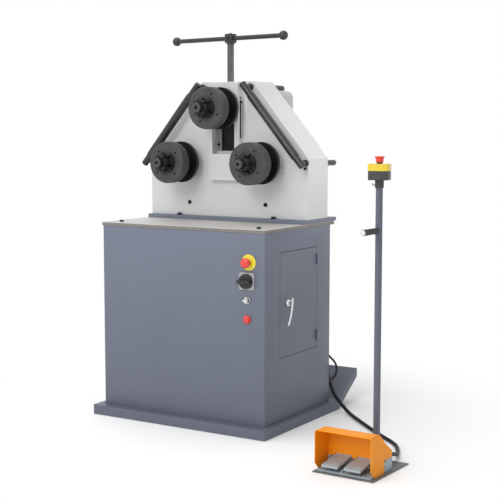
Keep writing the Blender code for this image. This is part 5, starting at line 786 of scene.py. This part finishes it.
def door_details():
    """Seal on the door's inner face, clear of the cam, and the nut that holds the cam."""
    inner = SIDE - 0.0030
    bm = bmesh.new()
    for low, high in (
        ((-0.135, 0.312), (0.132, 0.319)), ((-0.135, 0.6915), (0.132, 0.6985)), ((0.125, 0.319), (0.132, 0.6915)),
        ((-0.135, 0.319), (-0.128, 0.440)), ((-0.135, 0.585), (-0.128, 0.6915)),
    ):
        block(bm, (inner - 0.0035, low[0], low[1]), (inner + 0.0003, high[0], high[1]))
    piece("door_seal", bm, "rubber", "door")
    fasten(
        "cam_nut", [(0.3905, *LOCK)], (-1, 0, 0), "zinc", "door_lever", "bright_metal", across=0.013,
        height=0.005, washer=0.0085,
    )


def wiring():
    """Terminals, trunking and a few wires on the electrical plate."""
    x = ELECTRICAL_PLATE_X
    for name, foot, top in (("trunking", 0.3000, 0.3350), ("trunking_top", 0.6750, 0.7050)):
        round_box(
            name, (x, -0.1100, foot), (x + 0.030, 0.1900, top), "plate_grey", "stand", 0.001,
        )
    bm = bmesh.new()
    for number in range(14):
        low_y = -0.0900 + number * 0.0085
        block(bm, (x, low_y, 0.4200), (x + 0.034, low_y + 0.0080, 0.4620), edge=0.0006)
    piece("terminals", bm, "plate_grey", "stand")
    for number in range(4):
        y = -0.0795 + number * 0.045
        look = "wire_red" if number % 2 else "wire_blue"
        route, _ = smooth_route(
            ((x + 0.045, y, 0.5400), (x + 0.052, y, 0.5200), (x + 0.040, y * 0.8, 0.4950), (x + 0.020, y * 0.6, 0.4700),
             (x + 0.017, y * 0.6, 0.4615)), 0.006,
        )
        tube(f"wire_{number}", route, 0.0013, look, "stand", 8)


def station_details():
    """Screws of the foot station, the grip's end and the stop box."""
    post_x, post_y = POST_SPOT
    reach = 0.0215
    spots = [
        STATION @ Vector((post_x + reach * math.cos(turn), post_y + reach * math.sin(turn), 0.0083 - SHALLOW_SINK))
        for turn in (0.785, 2.356, 3.927, 5.498)
    ]
    fasten("flange_bolts", spots, (0, 0, 1), *ZINC, across=0.008, height=0.0040, washer=0.0058)
    bm = bmesh.new()
    place = STATION @ Matrix.Translation((post_x, 0.0983, 0.842)) @ Matrix.Rotation(math.pi / 2, 4, "X")
    turned(bm, ((0, 0), (0.0096, 0), (0.0096, 0.0012), (0.0080, 0.0024), (0, 0.0028)), place, 28)
    piece("grip_cap", bm, "white_plastic", "stand", 40)
    bm = bmesh.new()
    for a in (-1, 1):
        for b in (-1, 1):
            spot = BOX_FRAME @ Matrix.Translation((a * 0.0285, b * 0.0285, 1.0773 - SHALLOW_SINK))
            socket_screw(bm, spot, 0.0032, 0.0010)
    piece("cover_screws", bm, "zinc", "stand")
    bm = bmesh.new()
    place = BOX_FRAME @ Matrix.Translation((-0.0155, 0, 1.003)) @ Matrix.Rotation(-math.pi / 2, 4, "Y")
    turned(bm, ((0, 0), (0.0026, 0), (0.0026, 0.006), (0.0052, 0.0065), (0.0052, 0.0105), (0, 0.0105)), place, 20)
    piece("thumb_screw", bm, "zinc", "stand", 40)


def glands():
    """Clamp nuts of the cable glands."""
    thick = 0.0095
    bm = bmesh.new()
    for x, y, radius in ENTRY_GLANDS:
        turned(bm, ((0, 0), (radius, 0), (radius, thick), (0, thick)), Matrix.Translation((x, y, 0.3210)), 6)
    piece("entry_gland_nuts", bm, "black_plastic", "stand", width=0.0005)
    bm = bmesh.new()
    place = STATION @ Matrix.Translation((0.185, PEDAL_HOUSING_REAR, 0.036)) @ Matrix.Rotation(-math.pi / 2, 4, "X")
    turned(bm, ((0, 0), (0.0150, 0), (0.0150, thick), (0, thick)), place, 6)
    piece("pedal_gland_nut", bm, "black_plastic", "stand", width=0.0005)
    fasten(
        "entry_box_screws", [(x, 0.3326, z) for x in (0.3010, 0.3490) for z in (0.3370, 0.3850)],
        (0, 1, 0), *ZINC, cap=0.0030, height=0.0015,
    )


def screw_details():
    """The screw that holds the ball-ended bar in its hub, and the one on the hub's top."""
    oxide = ("black_oxide", "screw", "black_steel")
    turn = Matrix.Rotation(TOMMY_TURN, 3, "Z") @ Vector((0, -1, 0))
    spot = Vector((0, SCREW_Y, (HUB_FOOT + HUB_TOP) / 2)) + turn * (0.0185 - SINK)
    fasten("hub_screw", [spot], turn, *oxide, cap=0.0048, height=0.0035)
    fasten("hub_top_screw", [(0, SCREW_Y, HUB_TOP - SINK)], (0, 0, 1), *oxide, cap=0.0070, height=0.0035)


# The floor fades to white between these distances from its middle; the surroundings are brighter on the left
FLOOR_MIDDLE = (0.25, 0.0, 0.0)
FLOOR_FADE = (0.70, 1.45)
SKY_LEFT = 1.16
SKY_RIGHT = 0.42

# Name, place, aim, size, power and spread in degrees
LAMPS = (
    ("key", (0.6, -7.0, 4.6), (0.1, -0.1, 0.8), 3.0, 190, 180),
    ("top", (-0.6, -0.6, 5.2), (0.1, 0.0, 0.9), 2.6, 70, 180),
    ("head_side", (4.4, 0.2, 1.45), (0.39, 0.16, 1.13), 0.3, 0.35, 13),
)


def floor_finish():
    """Pale matt floor that fades to plain white away from the machine."""
    made = finish("floor_pale", (0.93, 0.93, 0.93), 0.95, mottle=((2, 0.004),), shine=0.0)
    tree = made.node_tree
    shader = tree.nodes["Principled BSDF"]
    out = tree.nodes["Material Output"]
    place = tree.nodes.new("ShaderNodeNewGeometry")
    reach = tree.nodes.new("ShaderNodeVectorMath")
    reach.operation = "DISTANCE"
    reach.inputs[1].default_value = FLOOR_MIDDLE
    fade = tree.nodes.new("ShaderNodeMapRange")
    fade.interpolation_type = "SMOOTHSTEP"
    fade.inputs["From Min"].default_value = FLOOR_FADE[0]
    fade.inputs["From Max"].default_value = FLOOR_FADE[1]
    glow = tree.nodes.new("ShaderNodeEmission")
    glow.inputs["Strength"].default_value = 1.0
    path = tree.nodes.new("ShaderNodeLightPath")
    seen = tree.nodes.new("ShaderNodeMath")
    seen.operation = "MULTIPLY"
    mix = tree.nodes.new("ShaderNodeMixShader")
    tree.links.new(place.outputs["Position"], reach.inputs[0])
    tree.links.new(reach.outputs["Value"], fade.inputs["Value"])
    tree.links.new(fade.outputs["Result"], seen.inputs[0])
    tree.links.new(path.outputs["Is Camera Ray"], seen.inputs[1])
    tree.links.new(seen.outputs[0], mix.inputs[0])
    tree.links.new(shader.outputs[0], mix.inputs[1])
    tree.links.new(glow.outputs[0], mix.inputs[2])
    tree.links.new(mix.outputs[0], out.inputs["Surface"])
    return made


def studio():
    """Pale floor, white surroundings and soft lamps."""
    scene = bpy.context.scene
    scene.view_settings.view_transform = "Standard"
    scene.view_settings.look = "None"
    world = bpy.data.worlds.new("studio")
    world.use_nodes = True
    scene.world = world
    tree = world.node_tree
    tree.nodes.clear()
    out = tree.nodes.new("ShaderNodeOutputWorld")
    path = tree.nodes.new("ShaderNodeLightPath")
    dim = tree.nodes.new("ShaderNodeBackground")
    dim.inputs["Color"].default_value = (1, 1, 1, 1)
    place = tree.nodes.new("ShaderNodeTexCoord")
    split = tree.nodes.new("ShaderNodeSeparateXYZ")
    side = tree.nodes.new("ShaderNodeMapRange")
    side.inputs["From Min"].default_value = -1.0
    side.inputs["To Min"].default_value = SKY_LEFT
    side.inputs["To Max"].default_value = SKY_RIGHT
    tree.links.new(place.outputs["Generated"], split.inputs[0])
    tree.links.new(split.outputs["X"], side.inputs["Value"])
    tree.links.new(side.outputs["Result"], dim.inputs["Strength"])
    white = tree.nodes.new("ShaderNodeBackground")
    white.inputs["Color"].default_value = (1, 1, 1, 1)
    white.inputs["Strength"].default_value = 1.0
    mix = tree.nodes.new("ShaderNodeMixShader")
    seen = path.outputs["Is Camera Ray"]
    for ray in ("Is Glossy Ray", "Is Transmission Ray"):
        either = tree.nodes.new("ShaderNodeMath")
        either.operation = "MAXIMUM"
        tree.links.new(seen, either.inputs[0])
        tree.links.new(path.outputs[ray], either.inputs[1])
        seen = either.outputs[0]
    tree.links.new(seen, mix.inputs[0])
    tree.links.new(dim.outputs[0], mix.inputs[1])
    tree.links.new(white.outputs[0], mix.inputs[2])
    tree.links.new(mix.outputs[0], out.inputs["Surface"])
    bm = bmesh.new()
    bmesh.ops.create_grid(bm, x_segments=8, y_segments=8, size=14)
    mesh = bpy.data.meshes.new("floor")
    bm.to_mesh(mesh)
    bm.free()
    floor = bpy.data.objects.new("floor", mesh)
    floor.location = (0, 4, -0.0006)
    scene.collection.objects.link(floor)
    mesh.materials.append(floor_finish())
    for name, place, aim, size, power, spread in LAMPS:
        data = bpy.data.lights.new(name, "AREA")
        data.shape = "SQUARE"
        data.size = size
        data.energy = power
        data.spread = math.radians(spread)
        lamp = bpy.data.objects.new(name, data)
        lamp.location = place
        lamp.rotation_euler = (Vector(aim) - Vector(place)).to_track_quat("-Z", "Y").to_euler()
        scene.collection.objects.link(lamp)


camera()
cables()
paint_nodes()
stand_screws()
guard_lip()
scale()
gearmotor()
front_controls()
door_details()
wiring()
station_details()
glands()
screw_details()
studio()
